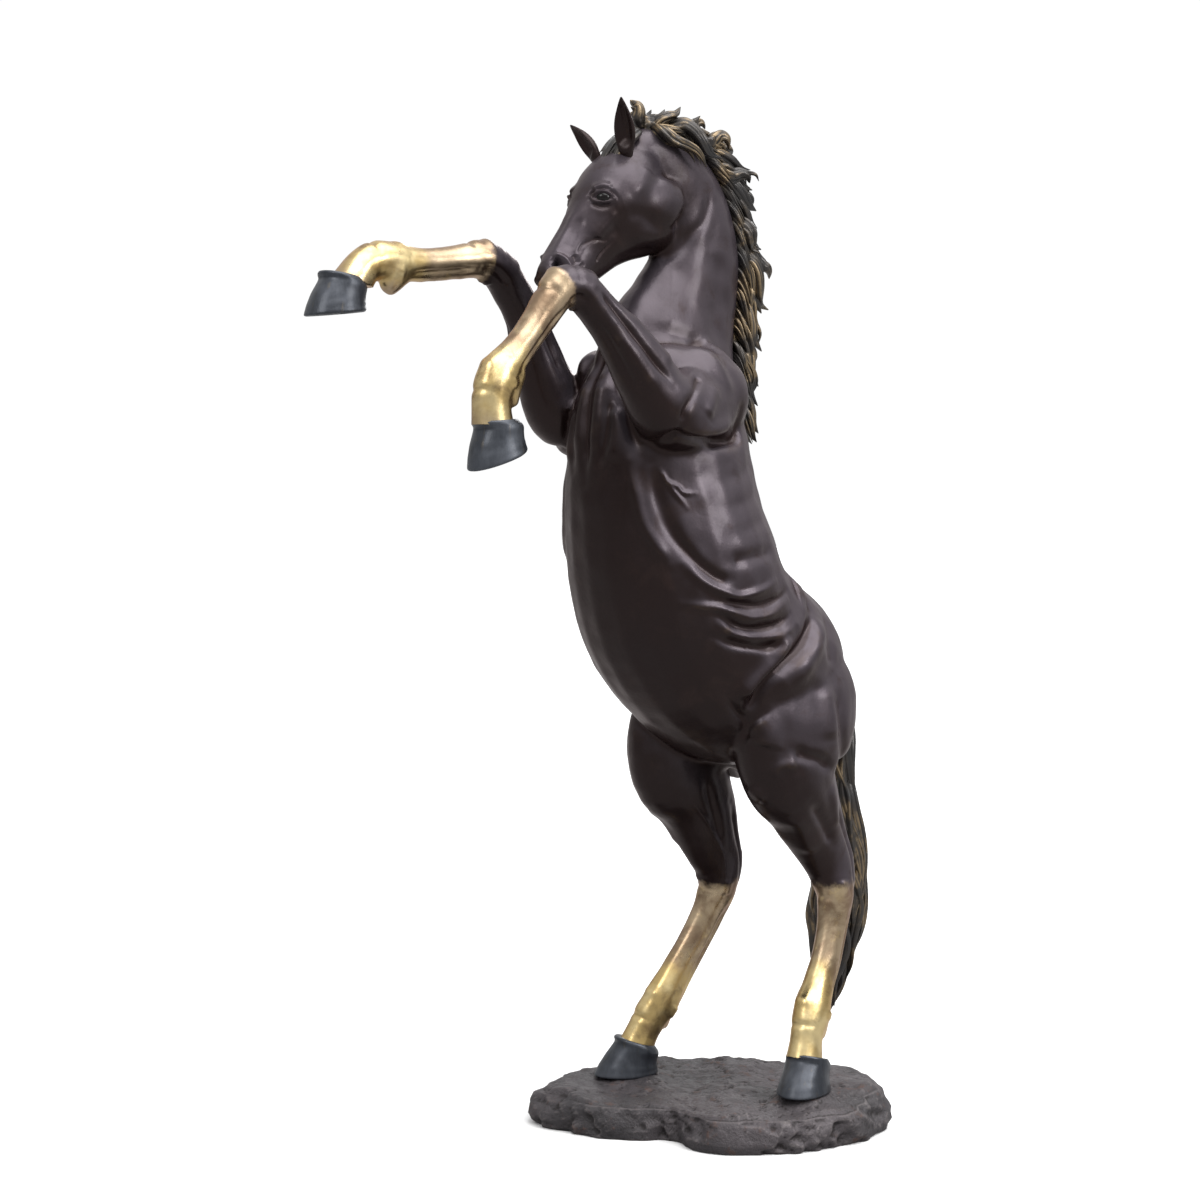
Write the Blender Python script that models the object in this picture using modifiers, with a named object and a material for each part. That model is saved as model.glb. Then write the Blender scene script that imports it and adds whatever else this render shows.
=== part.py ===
"""A life-size rearing horse in hollow cast bronze on a rock base, as the sections it is welded from.

Metres, +Z up. The horse faces -Y and its left side is +X. The origin is the centre of the base's underside,
and the plane x = 0 divides the horse in two. One closed body form is lofted from rings, hollowed by a core
form, and sawn into cast sections at the weld planes. Hooves, ears, hair, base and steel frame are added to it.
"""

import math
import random

import bmesh
import bpy
import numpy as np
from mathutils import Matrix, Vector

# Driving dimensions
WALL = 0.008  # bronze wall thickness that the core form leaves
GAP = 0.0003  # clearance between neighbouring solids
BODY_VOXEL = 0.009
BODY_SMOOTHING = 7
BODY_TRIANGLES = 3000
CORE_TRIANGLES = 1000
HAIR_TRIANGLES = 1050
TAIL_TRIANGLES = 400
ROD_RADIUS = 0.009
CROSSBAR = (0.118, 1.024)  # y and z of the bar between the two leg rods
CROSSBAR_RADIUS = 0.012
ROD_FOOT = (0.196, 0.0865)  # where the left rod stands; the right one stands opposite
BAR_THICKNESS = 0.010
BASE_WALL = 0.014
HOOF_SEAT_LEFT = 0.100  # height of the sole of each hind hoof above the underside
HOOF_SEAT_RIGHT = 0.092

# Body rings, each (x, y, z, half width, dorsal or front depth, ventral or rear depth).
TORSO = [
    (0, 0.275, 0.905, 0.060, 0.060, 0.070),
    (0, 0.215, 0.950, 0.165, 0.180, 0.160),
    (0, 0.135, 1.015, 0.215, 0.228, 0.225),
    (0, 0.050, 1.080, 0.234, 0.224, 0.255),
    (0, -0.030, 1.150, 0.236, 0.210, 0.268),
    (0, -0.090, 1.225, 0.238, 0.215, 0.270),
    (0, -0.130, 1.310, 0.236, 0.220, 0.255),
    (0, -0.155, 1.400, 0.218, 0.215, 0.240),
    (0, -0.170, 1.490, 0.196, 0.215, 0.230),
    (0, -0.180, 1.580, 0.178, 0.215, 0.215),
    (0, -0.180, 1.660, 0.150, 0.205, 0.200),
    (0, -0.165, 1.730, 0.110, 0.160, 0.160),
]
NECK = [
    (0, -0.175, 1.560, 0.130, 0.190, 0.190),
    (0, -0.165, 1.670, 0.122, 0.195, 0.195),
    (0, -0.140, 1.770, 0.105, 0.175, 0.185),
    (0, -0.105, 1.860, 0.085, 0.140, 0.155),
    (0, -0.080, 1.940, 0.074, 0.126, 0.130),
    (0, -0.075, 2.020, 0.069, 0.118, 0.115),
    (0, -0.100, 2.100, 0.066, 0.108, 0.105),
    (0, -0.150, 2.165, 0.062, 0.090, 0.100),
    (0, -0.215, 2.205, 0.054, 0.062, 0.080),
    (0, -0.270, 2.205, 0.044, 0.040, 0.060),
]
HEAD = [
    (0, -0.205, 2.195, 0.040, 0.030, 0.100),
    (0, -0.255, 2.165, 0.066, 0.068, 0.165),
    (0, -0.300, 2.120, 0.082, 0.084, 0.185),
    (0, -0.335, 2.075, 0.079, 0.082, 0.155),
    (0, -0.368, 2.030, 0.062, 0.074, 0.102),
    (0, -0.400, 1.985, 0.050, 0.066, 0.068),
    (0, -0.430, 1.945, 0.046, 0.062, 0.052),
    (0, -0.452, 1.915, 0.048, 0.058, 0.048),
    (0, -0.465, 1.890, 0.042, 0.044, 0.042),
    (0, -0.472, 1.875, 0.026, 0.026, 0.026),
]
HIND_RIGHT = [
    (-0.100, 0.120, 1.080, 0.090, 0.150, 0.150),
    (-0.115, 0.110, 1.000, 0.105, 0.185, 0.185),
    (-0.128, 0.085, 0.930, 0.108, 0.195, 0.185),
    (-0.135, 0.030, 0.860, 0.100, 0.178, 0.165),
    (-0.135, 0.018, 0.800, 0.090, 0.138, 0.135),
    (-0.132, 0.048, 0.740, 0.078, 0.098, 0.112),
    (-0.130, 0.078, 0.685, 0.066, 0.084, 0.098),
    (-0.130, 0.105, 0.630, 0.052, 0.078, 0.082),
    (-0.133, 0.130, 0.575, 0.046, 0.066, 0.070),
    (-0.140, 0.132, 0.520, 0.041, 0.052, 0.058),
    (-0.150, 0.112, 0.460, 0.034, 0.042, 0.048),
    (-0.158, 0.075, 0.395, 0.032, 0.040, 0.046),
    (-0.166, 0.028, 0.325, 0.033, 0.042, 0.046),
    (-0.174, -0.012, 0.265, 0.039, 0.046, 0.048),
    (-0.183, -0.040, 0.225, 0.038, 0.044, 0.046),
    (-0.190, -0.062, 0.185, 0.036, 0.042, 0.042),
    (-0.196, -0.085, 0.135, 0.044, 0.050, 0.050),
]
HIND_LEFT = [
    (0.100, 0.130, 1.080, 0.090, 0.150, 0.150),
    (0.118, 0.125, 1.005, 0.105, 0.185, 0.185),
    (0.132, 0.108, 0.935, 0.108, 0.190, 0.180),
    (0.142, 0.092, 0.865, 0.100, 0.150, 0.155),
    (0.142, 0.100, 0.805, 0.090, 0.118, 0.128),
    (0.138, 0.136, 0.750, 0.078, 0.090, 0.105),
    (0.132, 0.172, 0.700, 0.065, 0.082, 0.092),
    (0.130, 0.210, 0.645, 0.052, 0.072, 0.078),
    (0.132, 0.240, 0.590, 0.046, 0.064, 0.066),
    (0.140, 0.245, 0.530, 0.041, 0.050, 0.054),
    (0.148, 0.232, 0.470, 0.034, 0.042, 0.044),
    (0.156, 0.208, 0.405, 0.032, 0.038, 0.042),
    (0.166, 0.170, 0.335, 0.033, 0.040, 0.042),
    (0.176, 0.138, 0.285, 0.039, 0.046, 0.046),
    (0.184, 0.118, 0.250, 0.038, 0.044, 0.044),
    (0.190, 0.102, 0.210, 0.036, 0.040, 0.040),
    (0.196, 0.088, 0.150, 0.044, 0.050, 0.048),
]
FORE_LEFT = [
    (0.085, -0.080, 1.700, 0.070, 0.110, 0.110),
    (0.120, -0.175, 1.650, 0.080, 0.110, 0.100),
    (0.150, -0.260, 1.625, 0.082, 0.105, 0.082),
    (0.168, -0.325, 1.645, 0.072, 0.092, 0.070),
    (0.172, -0.370, 1.695, 0.061, 0.076, 0.063),
    (0.172, -0.410, 1.742, 0.053, 0.062, 0.056),
    (0.168, -0.455, 1.797, 0.045, 0.050, 0.046),
    (0.163, -0.505, 1.848, 0.041, 0.044, 0.042),
    (0.158, -0.550, 1.882, 0.043, 0.046, 0.040),
    (0.155, -0.590, 1.872, 0.041, 0.046, 0.040),
    (0.155, -0.625, 1.835, 0.034, 0.038, 0.040),
    (0.155, -0.665, 1.787, 0.030, 0.032, 0.036),
    (0.155, -0.705, 1.742, 0.031, 0.034, 0.038),
    (0.155, -0.742, 1.702, 0.037, 0.042, 0.042),
    (0.155, -0.762, 1.665, 0.038, 0.044, 0.042),
    (0.155, -0.765, 1.630, 0.037, 0.041, 0.041),
    (0.155, -0.758, 1.570, 0.044, 0.050, 0.048),
]
FORE_RIGHT = [
    (-0.085, -0.080, 1.700, 0.070, 0.110, 0.110),
    (-0.120, -0.180, 1.645, 0.080, 0.110, 0.100),
    (-0.150, -0.270, 1.615, 0.082, 0.105, 0.082),
    (-0.168, -0.335, 1.640, 0.072, 0.088, 0.070),
    (-0.172, -0.365, 1.700, 0.060, 0.072, 0.064),
    (-0.170, -0.392, 1.765, 0.050, 0.058, 0.056),
    (-0.165, -0.425, 1.835, 0.044, 0.048, 0.046),
    (-0.160, -0.470, 1.900, 0.041, 0.044, 0.042),
    (-0.156, -0.515, 1.945, 0.043, 0.046, 0.040),
    (-0.155, -0.560, 1.962, 0.041, 0.044, 0.040),
    (-0.155, -0.610, 1.958, 0.034, 0.036, 0.038),
    (-0.155, -0.665, 1.950, 0.030, 0.032, 0.036),
    (-0.155, -0.720, 1.944, 0.031, 0.033, 0.037),
    (-0.155, -0.775, 1.943, 0.036, 0.040, 0.042),
    (-0.155, -0.825, 1.943, 0.038, 0.042, 0.042),
    (-0.155, -0.865, 1.925, 0.037, 0.041, 0.041),
    (-0.155, -0.905, 1.870, 0.044, 0.048, 0.048),
]
# The fetlock tufts, each from the rear of a fetlock to its tip.
TUFTS = [
    [(-0.178, 0.010, 0.275, 0.022, 0.024, 0.024), (-0.184, 0.012, 0.215, 0.018, 0.018, 0.018),
     (-0.190, 0.018, 0.165, 0.008, 0.008, 0.008)],
    [(0.178, 0.160, 0.290, 0.022, 0.024, 0.024), (0.184, 0.163, 0.235, 0.018, 0.018, 0.018),
     (0.188, 0.168, 0.190, 0.008, 0.008, 0.008)],
    [(0.155, -0.708, 1.705, 0.022, 0.022, 0.022), (0.155, -0.716, 1.660, 0.018, 0.018, 0.018),
     (0.155, -0.712, 1.622, 0.008, 0.008, 0.008)],
    [(-0.155, -0.770, 1.925, 0.022, 0.024, 0.024), (-0.155, -0.792, 1.898, 0.018, 0.018, 0.018),
     (-0.155, -0.806, 1.875, 0.008, 0.008, 0.008)],
]
SHOULDER = [
    (0.070, -0.040, 1.700, 0.036, 0.046, 0.046),
    (0.103, -0.078, 1.688, 0.056, 0.080, 0.085),
    (0.122, -0.135, 1.672, 0.062, 0.100, 0.100),
    (0.125, -0.200, 1.680, 0.066, 0.105, 0.105),
    (0.100, -0.270, 1.720, 0.050, 0.070, 0.080),
    (0.075, -0.315, 1.740, 0.030, 0.030, 0.030),
]

# Weld planes, each (point, normal pointing at the piece that comes off, x range) and, where they matter, how far
# the cut reaches along the normal and how wide it is.
LEG_SPAN = 0.34
WELDS = {
    "lower_hind_leg_right": ((-0.140, 0.134, 0.512), (0.0, -0.15, -1.0), (-LEG_SPAN, -0.003)),
    "lower_hind_leg_left": ((0.142, 0.244, 0.527), (0.0, -0.10, -1.0), (0.003, LEG_SPAN)),
    "upper_hind_leg_right": ((-0.135, 0.030, 0.815), (0.0, 0.0, -1.0), (-LEG_SPAN, -0.003)),
    "upper_hind_leg_left": ((0.142, 0.086, 0.815), (0.0, 0.1, -1.0), (0.003, LEG_SPAN)),
    "lower_fore_leg_left": ((0.156, -0.582, 1.878), (0.0, -1.0, -0.45), (0.080, LEG_SPAN), 0.6, 0.5),
    "lower_fore_leg_right": ((-0.155, -0.548, 1.958), (0.0, -1.0, 0.15), (-LEG_SPAN, -0.080), 0.6, 0.5),
    "forearm_left": ((0.172, -0.378, 1.705), (0.0, -0.66, 0.75), (0.100, LEG_SPAN)),
    "forearm_right": ((-0.171, -0.378, 1.728), (0.0, -0.50, 0.86), (-LEG_SPAN, -0.100)),
    "head": ((0.0, -0.235, 2.140), (0.0, -0.80, 0.25), (-0.120, 0.120)),
    "neck": ((0.0, -0.140, 1.790), (0.0, 0.18, 1.0), (-0.120, 0.120)),
    "chest": ((0.0, -0.170, 1.500), (0.0, -0.25, 1.0), (-LEG_SPAN, LEG_SPAN)),
    "barrel": ((0.0, -0.040, 1.165), (0.0, -0.60, 1.0), (-LEG_SPAN, LEG_SPAN)),
}

# Hooves, each (centre of the sole, direction of the toe, direction away from the ground).
HOOVES = {
    "hoof_hind_right": ((-0.200, -0.095, HOOF_SEAT_RIGHT), (-0.35, -0.94, 0.0), (0.0, 0.0, 1.0)),
    "hoof_hind_left": ((0.200, 0.088, HOOF_SEAT_LEFT), (0.35, -0.94, 0.0), (0.0, 0.0, 1.0)),
    "hoof_fore_left": ((0.155, -0.744, 1.525), (0.0, -0.932, -0.360), (0.0, -0.360, 0.932)),
    "hoof_fore_right": ((-0.155, -0.927, 1.826), (0.0, -0.994, -0.110), (0.0, -0.110, 0.994)),
}
CORONET_FRONT = Vector((0.030, 0.076))  # toeward and upward of the sole's centre
CORONET_BACK = Vector((-0.064, 0.050))

# Rock base outline: radius at equal steps of angle, from the +X axis turned to BASE_ANGLE.
BASE_ANGLE = math.radians(50)
BASE_RADII = [0.405, 0.410, 0.395, 0.330, 0.285, 0.262, 0.258, 0.268, 0.315, 0.330, 0.362, 0.415,
              0.425, 0.355, 0.285, 0.205, 0.186, 0.224, 0.248, 0.260, 0.285, 0.318, 0.362, 0.390]
BASE_HEIGHT = 0.078

BRONZE_DARK = (0.030, 0.024, 0.024)
BRONZE_GOLD = (0.620, 0.430, 0.160)
BRONZE_HOOF = (0.030, 0.034, 0.042)
BRONZE_HAIR = (0.090, 0.068, 0.040)
ROCK = (0.075, 0.062, 0.062)
STEEL = (0.450, 0.450, 0.460)

horse = bpy.data.collections.new("rearing_horse")
tools = bpy.data.collections.new("forms_and_cutters")


def clear_scene():
    for obj in list(bpy.data.objects):
        bpy.data.objects.remove(obj)
    for collection in (horse, tools):
        bpy.context.scene.collection.children.link(collection)


def metal(name, color, roughness, metallic=1.0):
    material = bpy.data.materials.new(name)
    material.use_nodes = True
    shader = material.node_tree.nodes["Principled BSDF"]
    shader.inputs["Base Color"].default_value = (*color, 1.0)
    shader.inputs["Roughness"].default_value = roughness
    shader.inputs["Metallic"].default_value = metallic
    return material


def linked(name, mesh, collection):
    obj = bpy.data.objects.new(name, mesh)
    collection.objects.link(obj)
    return obj


def helper(obj):
    """A form or cutter that isn't part of the statue."""
    obj.hide_render = True
    obj.display_type = "WIRE"
    return obj


def baked(obj, name, collection):
    """A new object with obj's modifiers applied. obj is removed."""
    graph = bpy.context.evaluated_depsgraph_get()
    mesh = bpy.data.meshes.new_from_object(obj.evaluated_get(graph))
    mesh.transform(obj.matrix_world)
    bpy.data.objects.remove(obj)
    return linked(name, mesh, collection)


def boolean(obj, other, operation):
    modifier = obj.modifiers.new(operation.title(), "BOOLEAN")
    modifier.operation = operation
    modifier.object = other


def through(rings, steps):
    """Rows on the Catmull-Rom curve through the rings."""
    rows = np.array(rings, float)
    padded = np.vstack([2 * rows[0] - rows[1], rows, 2 * rows[-1] - rows[-2]])
    made = []
    for a, b, c, d in zip(padded, padded[1:], padded[2:], padded[3:]):
        for t in np.arange(steps) / steps:
            made.append(b + 0.5 * t * ((c - a) + t * (2 * a - 5 * b + 4 * c - d + t * (3 * b - a - 3 * c + d))))
    made.append(rows[-1])
    return np.array(made)


def face_out(bm):
    """Turns all faces of a closed form outward."""
    bmesh.ops.recalc_face_normals(bm, faces=bm.faces)
    if bm.calc_volume(signed=True) < 0:
        bmesh.ops.reverse_faces(bm, faces=bm.faces)


def bridge(bm, loops):
    """Walls between neighbouring closed loops, and a fan over each end."""
    for one, two in zip(loops, loops[1:]):
        for k in range(len(one)):
            following = (k + 1) % len(one)
            bm.faces.new((one[k], one[following], two[following], two[k]))
    for loop in (loops[0], loops[-1]):
        middle = bm.verts.new(sum((v.co for v in loop), Vector()) / len(loop))
        for k in range(len(loop)):
            bm.faces.new((loop[k], loop[(k + 1) % len(loop)], middle))
    face_out(bm)


def mesh_of(bm, name):
    mesh = bpy.data.meshes.new(name)
    bm.to_mesh(mesh)
    bm.free()
    return mesh


def loft(name, rings, steps=4, sides=24, inset=0.0, lateral=(1, 0, 0)):
    """A closed tube through unlike elliptical sections: a loft that no primitive or curve gives."""
    rows = through(rings, steps)
    rows[:, 3:] = np.maximum(rows[:, 3:] - inset, 0.002)
    tangents = np.gradient(rows[:, :3], axis=0)
    bm = bmesh.new()
    loops = []
    for row, tangent in zip(rows, tangents):
        along = Vector(tangent).normalized()
        across = Vector(lateral)
        across = (across - across.dot(along) * along).normalized()
        outward = along.cross(across)
        loop = []
        for k in range(sides):
            angle = 2 * math.pi * k / sides
            depth = row[4] if math.sin(angle) > 0 else row[5]
            offset = across * row[3] * math.cos(angle) + outward * depth * math.sin(angle)
            loop.append(bm.verts.new(Vector(row[:3]) + offset))
        loops.append(loop)
    bridge(bm, loops)
    return helper(linked(name, mesh_of(bm, name), tools))


def mirrored(rings):
    return [(-x, *rest) for x, *rest in rings]


def merged(name, forms, voxel, smoothing, triangles):
    """One closed surface round overlapping forms, smoothed and reduced to about that many triangles."""
    bm = bmesh.new()
    for form in forms:
        bm.from_mesh(form.data)
        bpy.data.objects.remove(form)
    obj = linked(name, mesh_of(bm, name), tools)
    remesh = obj.modifiers.new("Remesh", "REMESH")
    remesh.mode = "VOXEL"
    remesh.voxel_size = voxel
    smooth = obj.modifiers.new("Smooth", "SMOOTH")
    smooth.factor = 0.5
    smooth.iterations = smoothing
    obj = baked(obj, name, tools)
    reduce_ = obj.modifiers.new("Decimate", "DECIMATE")
    reduce_.ratio = triangles / (2 * len(obj.data.polygons))
    return helper(baked(obj, name, tools))


def body_forms(inset):
    chains = {
        "torso_form": TORSO, "neck_form": NECK, "head_form": HEAD,
        "hind_right_form": HIND_RIGHT, "hind_left_form": HIND_LEFT,
        "fore_left_form": FORE_LEFT, "fore_right_form": FORE_RIGHT,
        "shoulder_left_form": SHOULDER, "shoulder_right_form": mirrored(SHOULDER),
    }
    forms = [loft(name, rings, inset=inset) for name, rings in chains.items()]
    if not inset:
        forms += [loft(f"tuft_form_{i}", rings, steps=3, sides=12) for i, rings in enumerate(TUFTS)]
    return forms


def grown(obj, name, by):
    """A copy whose surface stands out by that much, to cut a neighbour clear of it."""
    copy = linked(name, obj.data.copy(), tools)
    swell = copy.modifiers.new("Displace", "DISPLACE")
    swell.strength = by
    swell.mid_level = 0.0
    return helper(baked(copy, name, tools))


def plane_box(name, weld, offset=0.0):
    """A box that starts at a weld plane and reaches along its normal, between two x values."""
    point, normal, x_range, depth, breadth = (*weld, 0.9, 1.8)[:5]
    toward = Vector(normal).normalized()
    across = Vector((1, 0, 0))
    across = (across - across.dot(toward) * toward).normalized()
    third = toward.cross(across)
    bm = bmesh.new()
    bmesh.ops.create_cube(bm, size=1.0)
    low, high = x_range
    start = Vector(point) - across * (point[0] / across.x) - offset * toward
    for v in bm.verts:
        x = low - offset if v.co.x < 0 else high + offset
        v.co = start + across * x + third * (v.co.y * breadth) + toward * ((v.co.z + 0.5) * depth)
    face_out(bm)
    return helper(linked(name, mesh_of(bm, name), tools))


def saw(stock, name, weld):
    """Takes the piece beyond a weld plane off the stock. Returns the piece and what is left."""
    inside = plane_box(name + "_keep", weld)
    around = plane_box(name + "_cut", weld, offset=GAP)
    piece = linked(name, stock.data.copy(), tools)
    boolean(piece, inside, "INTERSECT")
    piece = baked(piece, name, horse)
    boolean(stock, around, "DIFFERENCE")
    return piece, helper(baked(stock, "stock", tools))


def keep_largest(obj):
    """Drops the loose crumbs that a cut leaves."""
    bm = bmesh.new()
    bm.from_mesh(obj.data)
    left = set(bm.verts)
    islands = []
    while left:
        island, edge = set(), [left.pop()]
        while edge:
            vert = edge.pop()
            island.add(vert)
            near = {e.other_vert(vert) for e in vert.link_edges} & left
            left -= near
            edge.extend(near)
        islands.append(island)
    largest = max(islands, key=len)
    bmesh.ops.delete(bm, geom=[v for v in bm.verts if v not in largest], context="VERTS")
    bm.to_mesh(obj.data)
    bm.free()
    return obj


def trimmed(obj, cutters, name):
    """The node that is left of obj outside the cutters."""
    for cutter in cutters:
        boolean(obj, cutter, "DIFFERENCE")
    return keep_largest(baked(obj, name, horse))


def finished(obj, material):
    obj.data.materials.clear()
    obj.data.materials.append(material)
    return obj


def hoof_frame(name):
    sole, toe, up = (Vector(v) for v in HOOVES[name])
    toe = toe.normalized()
    up = (up - up.dot(toe) * toe).normalized()
    return sole, toe, up, up.cross(toe)


def hoof(name):
    """Wall flaring from the coronet to a bevelled sole, rounder at the toe than at the heel."""
    sole, toe, up, side = hoof_frame(name)
    back, front = CORONET_BACK, CORONET_FRONT
    middle, half = (front + back) / 2, (front - back).length / 2
    stations = [
        (Vector((0.000, 0.000)), 0.052, 0.066, 0.056, 0.0),
        (Vector((0.000, 0.006)), 0.058, 0.072, 0.062, 0.0),
        (Vector((-0.006, 0.034)), 0.055, 0.064, 0.058, 0.45),
        (middle - Vector((0.0, 0.006)), 0.050, half + 0.003, half + 0.002, 1.0),
        (middle, 0.046, half, half, 1.0),
    ]
    slope = (front - back) / (2 * half)
    bm = bmesh.new()
    loops = []
    for centre, width, ahead, behind, tilt in stations:
        along = (Vector((1, 0)).lerp(slope, tilt)).normalized()
        loop = []
        for k in range(20):
            angle = 2 * math.pi * k / 20
            reach = (ahead if math.cos(angle) > 0 else behind) * math.cos(angle)
            flat = centre + along * reach
            loop.append(bm.verts.new(sole + toe * flat.x + up * flat.y + side * width * math.sin(angle)))
        loops.append(loop)
    bridge(bm, loops)
    return linked(name, mesh_of(bm, name), horse)


def coronet_weld(name, x_range):
    """The plane across the top of a hoof, as a weld that takes off what is below it."""
    sole, toe, up, _ = hoof_frame(name)
    middle = (CORONET_FRONT + CORONET_BACK) / 2
    slope = (CORONET_FRONT - CORONET_BACK).normalized()
    point = sole + toe * middle.x + up * (middle.y + GAP)
    normal = toe * slope.y - up * slope.x
    return point, normal, x_range, 0.16, 0.26


# Ear stations (place from base to tip, share of the full width, share of the full hollow), and its section.
EAR_STATIONS = [(-0.20, 0.50, 0.0), (0.0, 0.72, 0.0), (0.2, 0.96, 0.9), (0.4, 1.0, 1.0), (0.6, 0.84, 1.0),
                (0.8, 0.50, 0.8), (0.93, 0.24, 0.2), (1.0, 0.06, 0.0)]
EAR_BACK = [-112, -80, -45, 0, 45, 80, 112]
EAR_FRONT = [(128, 96, 0.66), (150, 60, 0.50), (180, 0, 0.42), (210, -60, 0.50), (232, -96, 0.66)]


def ear(name, base, tip, opening, width):
    """A pointed ear: a curled shell, open to one side, that closes to a round stalk at its base."""
    base, tip, opening = Vector(base), Vector(tip), Vector(opening)
    along = (tip - base).normalized()
    opening = (opening - opening.dot(along) * along).normalized()
    across = along.cross(opening)

    def around(centre, angle, radius):
        turn = math.radians(angle)
        return centre + across * radius * math.sin(turn) - opening * 0.75 * radius * math.cos(turn)

    bm = bmesh.new()
    loops = []
    for place, wide, hollow in EAR_STATIONS:
        centre = base.lerp(tip, place) + opening * width * 0.25 * place * place
        radius = width * wide
        points = [around(centre, angle, radius) for angle in EAR_BACK]
        for full, sunk, depth in EAR_FRONT:
            points.append(around(centre, full, radius).lerp(around(centre, sunk, radius * depth), hollow))
        loops.append([bm.verts.new(point) for point in points])
    bridge(bm, loops)
    return linked(name, mesh_of(bm, name), horse)


def lock(points, width):
    """A tapering lock of hair through points: a round root, full at a third, drawn out to the tip."""
    depth = width * 0.8
    taper = np.interp(np.linspace(0, 1, len(points)), [0, 0.35, 0.75, 1.0], [0.75, 1.0, 0.62, 0.12])
    rings = [(*p, width * s, depth * s, depth * s) for p, s in zip(points, taper)]
    return loft("lock", rings, steps=3, sides=10)


# Crest of the neck from the poll to the withers, as (y, z) under the hair.
CREST = [(-0.300, 2.215), (-0.235, 2.255), (-0.150, 2.245), (-0.075, 2.215), (-0.020, 2.165), (0.015, 2.110),
         (0.035, 2.040), (0.045, 1.960), (0.043, 1.880), (0.037, 1.800), (0.036, 1.720), (0.044, 1.640)]
# Free locks as (place along the crest, offset to the root, then offsets to the points after it), and a width.
LOCKS = [
    (1.0, [(0.000, -0.000, 0.000), (0.004, -0.012, 0.030), (0.004, -0.026, 0.058)], 0.020),
    (1.2, [(0.010, 0.000, 0.000), (0.056, 0.010, -0.020), (0.078, 0.050, -0.050), (0.086, 0.105, -0.078)], 0.020),
    (1.7, [(0.010, 0.000, 0.005), (0.045, 0.030, 0.004), (0.068, 0.075, -0.030), (0.078, 0.110, -0.065)], 0.022),
    (2.5, [(0.000, 0.000, 0.005), (0.012, 0.025, 0.025), (0.010, 0.060, 0.036)], 0.020),
    (2.9, [(0.010, 0.000, 0.000), (0.035, 0.035, 0.010), (0.040, 0.080, 0.005)], 0.026),
    (3.4, [(0.000, 0.000, 0.000), (0.020, 0.035, 0.012), (0.020, 0.076, 0.022)], 0.024),
    (4.0, [(0.010, 0.000, 0.000), (0.040, 0.030, -0.005), (0.050, 0.072, -0.010)], 0.026),
    (4.6, [(0.000, 0.000, 0.000), (0.020, 0.040, -0.002), (0.020, 0.086, -0.022)], 0.026),
    (5.4, [(0.010, 0.000, 0.000), (0.040, 0.030, -0.030), (0.048, 0.062, -0.072)], 0.026),
    (5.7, [(0.000, -0.010, 0.000), (0.018, 0.035, -0.030), (0.024, 0.078, -0.085), (0.020, 0.116, -0.100)], 0.028),
    (6.3, [(0.010, 0.000, 0.000), (0.036, 0.030, -0.040), (0.036, 0.058, -0.100), (0.030, 0.088, -0.140)], 0.024),
    (7.0, [(0.000, 0.000, 0.000), (0.024, 0.026, -0.045), (0.026, 0.044, -0.110)], 0.024),
    (7.8, [(0.000, 0.000, 0.000), (0.024, 0.022, -0.045), (0.022, 0.046, -0.112)], 0.023),
    (8.6, [(0.000, 0.000, 0.000), (0.024, 0.020, -0.040), (0.018, 0.056, -0.078)], 0.022),
    (8.9, [(0.010, 0.000, 0.000), (0.034, 0.018, -0.060), (0.022, 0.040, -0.130)], 0.022),
    (9.8, [(0.000, 0.000, 0.000), (0.018, 0.018, -0.050), (0.012, 0.042, -0.110)], 0.020),
    (10.6, [(0.000, 0.000, 0.000), (0.012, 0.020, -0.060), (0.008, 0.036, -0.130)], 0.016),
    (0.6, [(0.020, 0.000, 0.005), (0.026, -0.035, -0.005), (0.028, -0.066, -0.030), (0.022, -0.088, -0.062)], 0.018),
    (0.5, [(-0.010, 0.000, 0.005), (0.004, -0.035, 0.002), (0.006, -0.070, -0.022), (0.004, -0.098, -0.062)], 0.020),
    (0.6, [(-0.022, 0.000, 0.005), (-0.026, -0.035, -0.005), (-0.028, -0.066, -0.030)], 0.018),
    (2.0, [(-0.020, 0.000, 0.000), (-0.062, 0.025, -0.020), (-0.074, 0.050, -0.085)], 0.024),
    (4.2, [(-0.020, 0.000, 0.000), (-0.050, 0.030, -0.030), (-0.060, 0.052, -0.100)], 0.028),
    (6.0, [(-0.020, 0.000, 0.000), (-0.046, 0.026, -0.045), (-0.056, 0.036, -0.120)], 0.028),
    (7.9, [(-0.020, 0.000, 0.000), (-0.044, 0.014, -0.050), (-0.054, 0.012, -0.130)], 0.028),
]
HAIR_WELDS = {
    "forelock": ((0.0, -0.282, 2.20), (0.0, -1.0, 0.0), (-0.2, 0.2)),
    "mane_poll": ((0.0, -0.050, 2.20), (0.0, -0.62, 0.78), (-0.2, 0.2)),
    "mane_upper": ((0.0, 0.045, 2.000), (0.0, 0.0, 1.0), (-0.2, 0.2)),
    "mane_middle": ((0.0, 0.060, 1.790), (0.0, 0.0, 1.0), (-0.2, 0.2)),
}
TAIL = [
    (0, 0.270, 1.030, 0.045, 0.040, 0.040),
    (0, 0.335, 1.030, 0.050, 0.044, 0.044),
    (0, 0.358, 0.970, 0.052, 0.048, 0.048),
    (0, 0.360, 0.890, 0.056, 0.050, 0.050),
    (0, 0.358, 0.800, 0.058, 0.054, 0.054),
    (0, 0.374, 0.700, 0.064, 0.060, 0.060),
    (0, 0.396, 0.600, 0.068, 0.062, 0.062),
    (0, 0.406, 0.500, 0.068, 0.060, 0.060),
    (0, 0.402, 0.410, 0.064, 0.054, 0.054),
    (0, 0.392, 0.330, 0.050, 0.044, 0.044),
    (0, 0.378, 0.260, 0.034, 0.030, 0.030),
    (0, 0.364, 0.205, 0.010, 0.010, 0.010),
]
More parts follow.
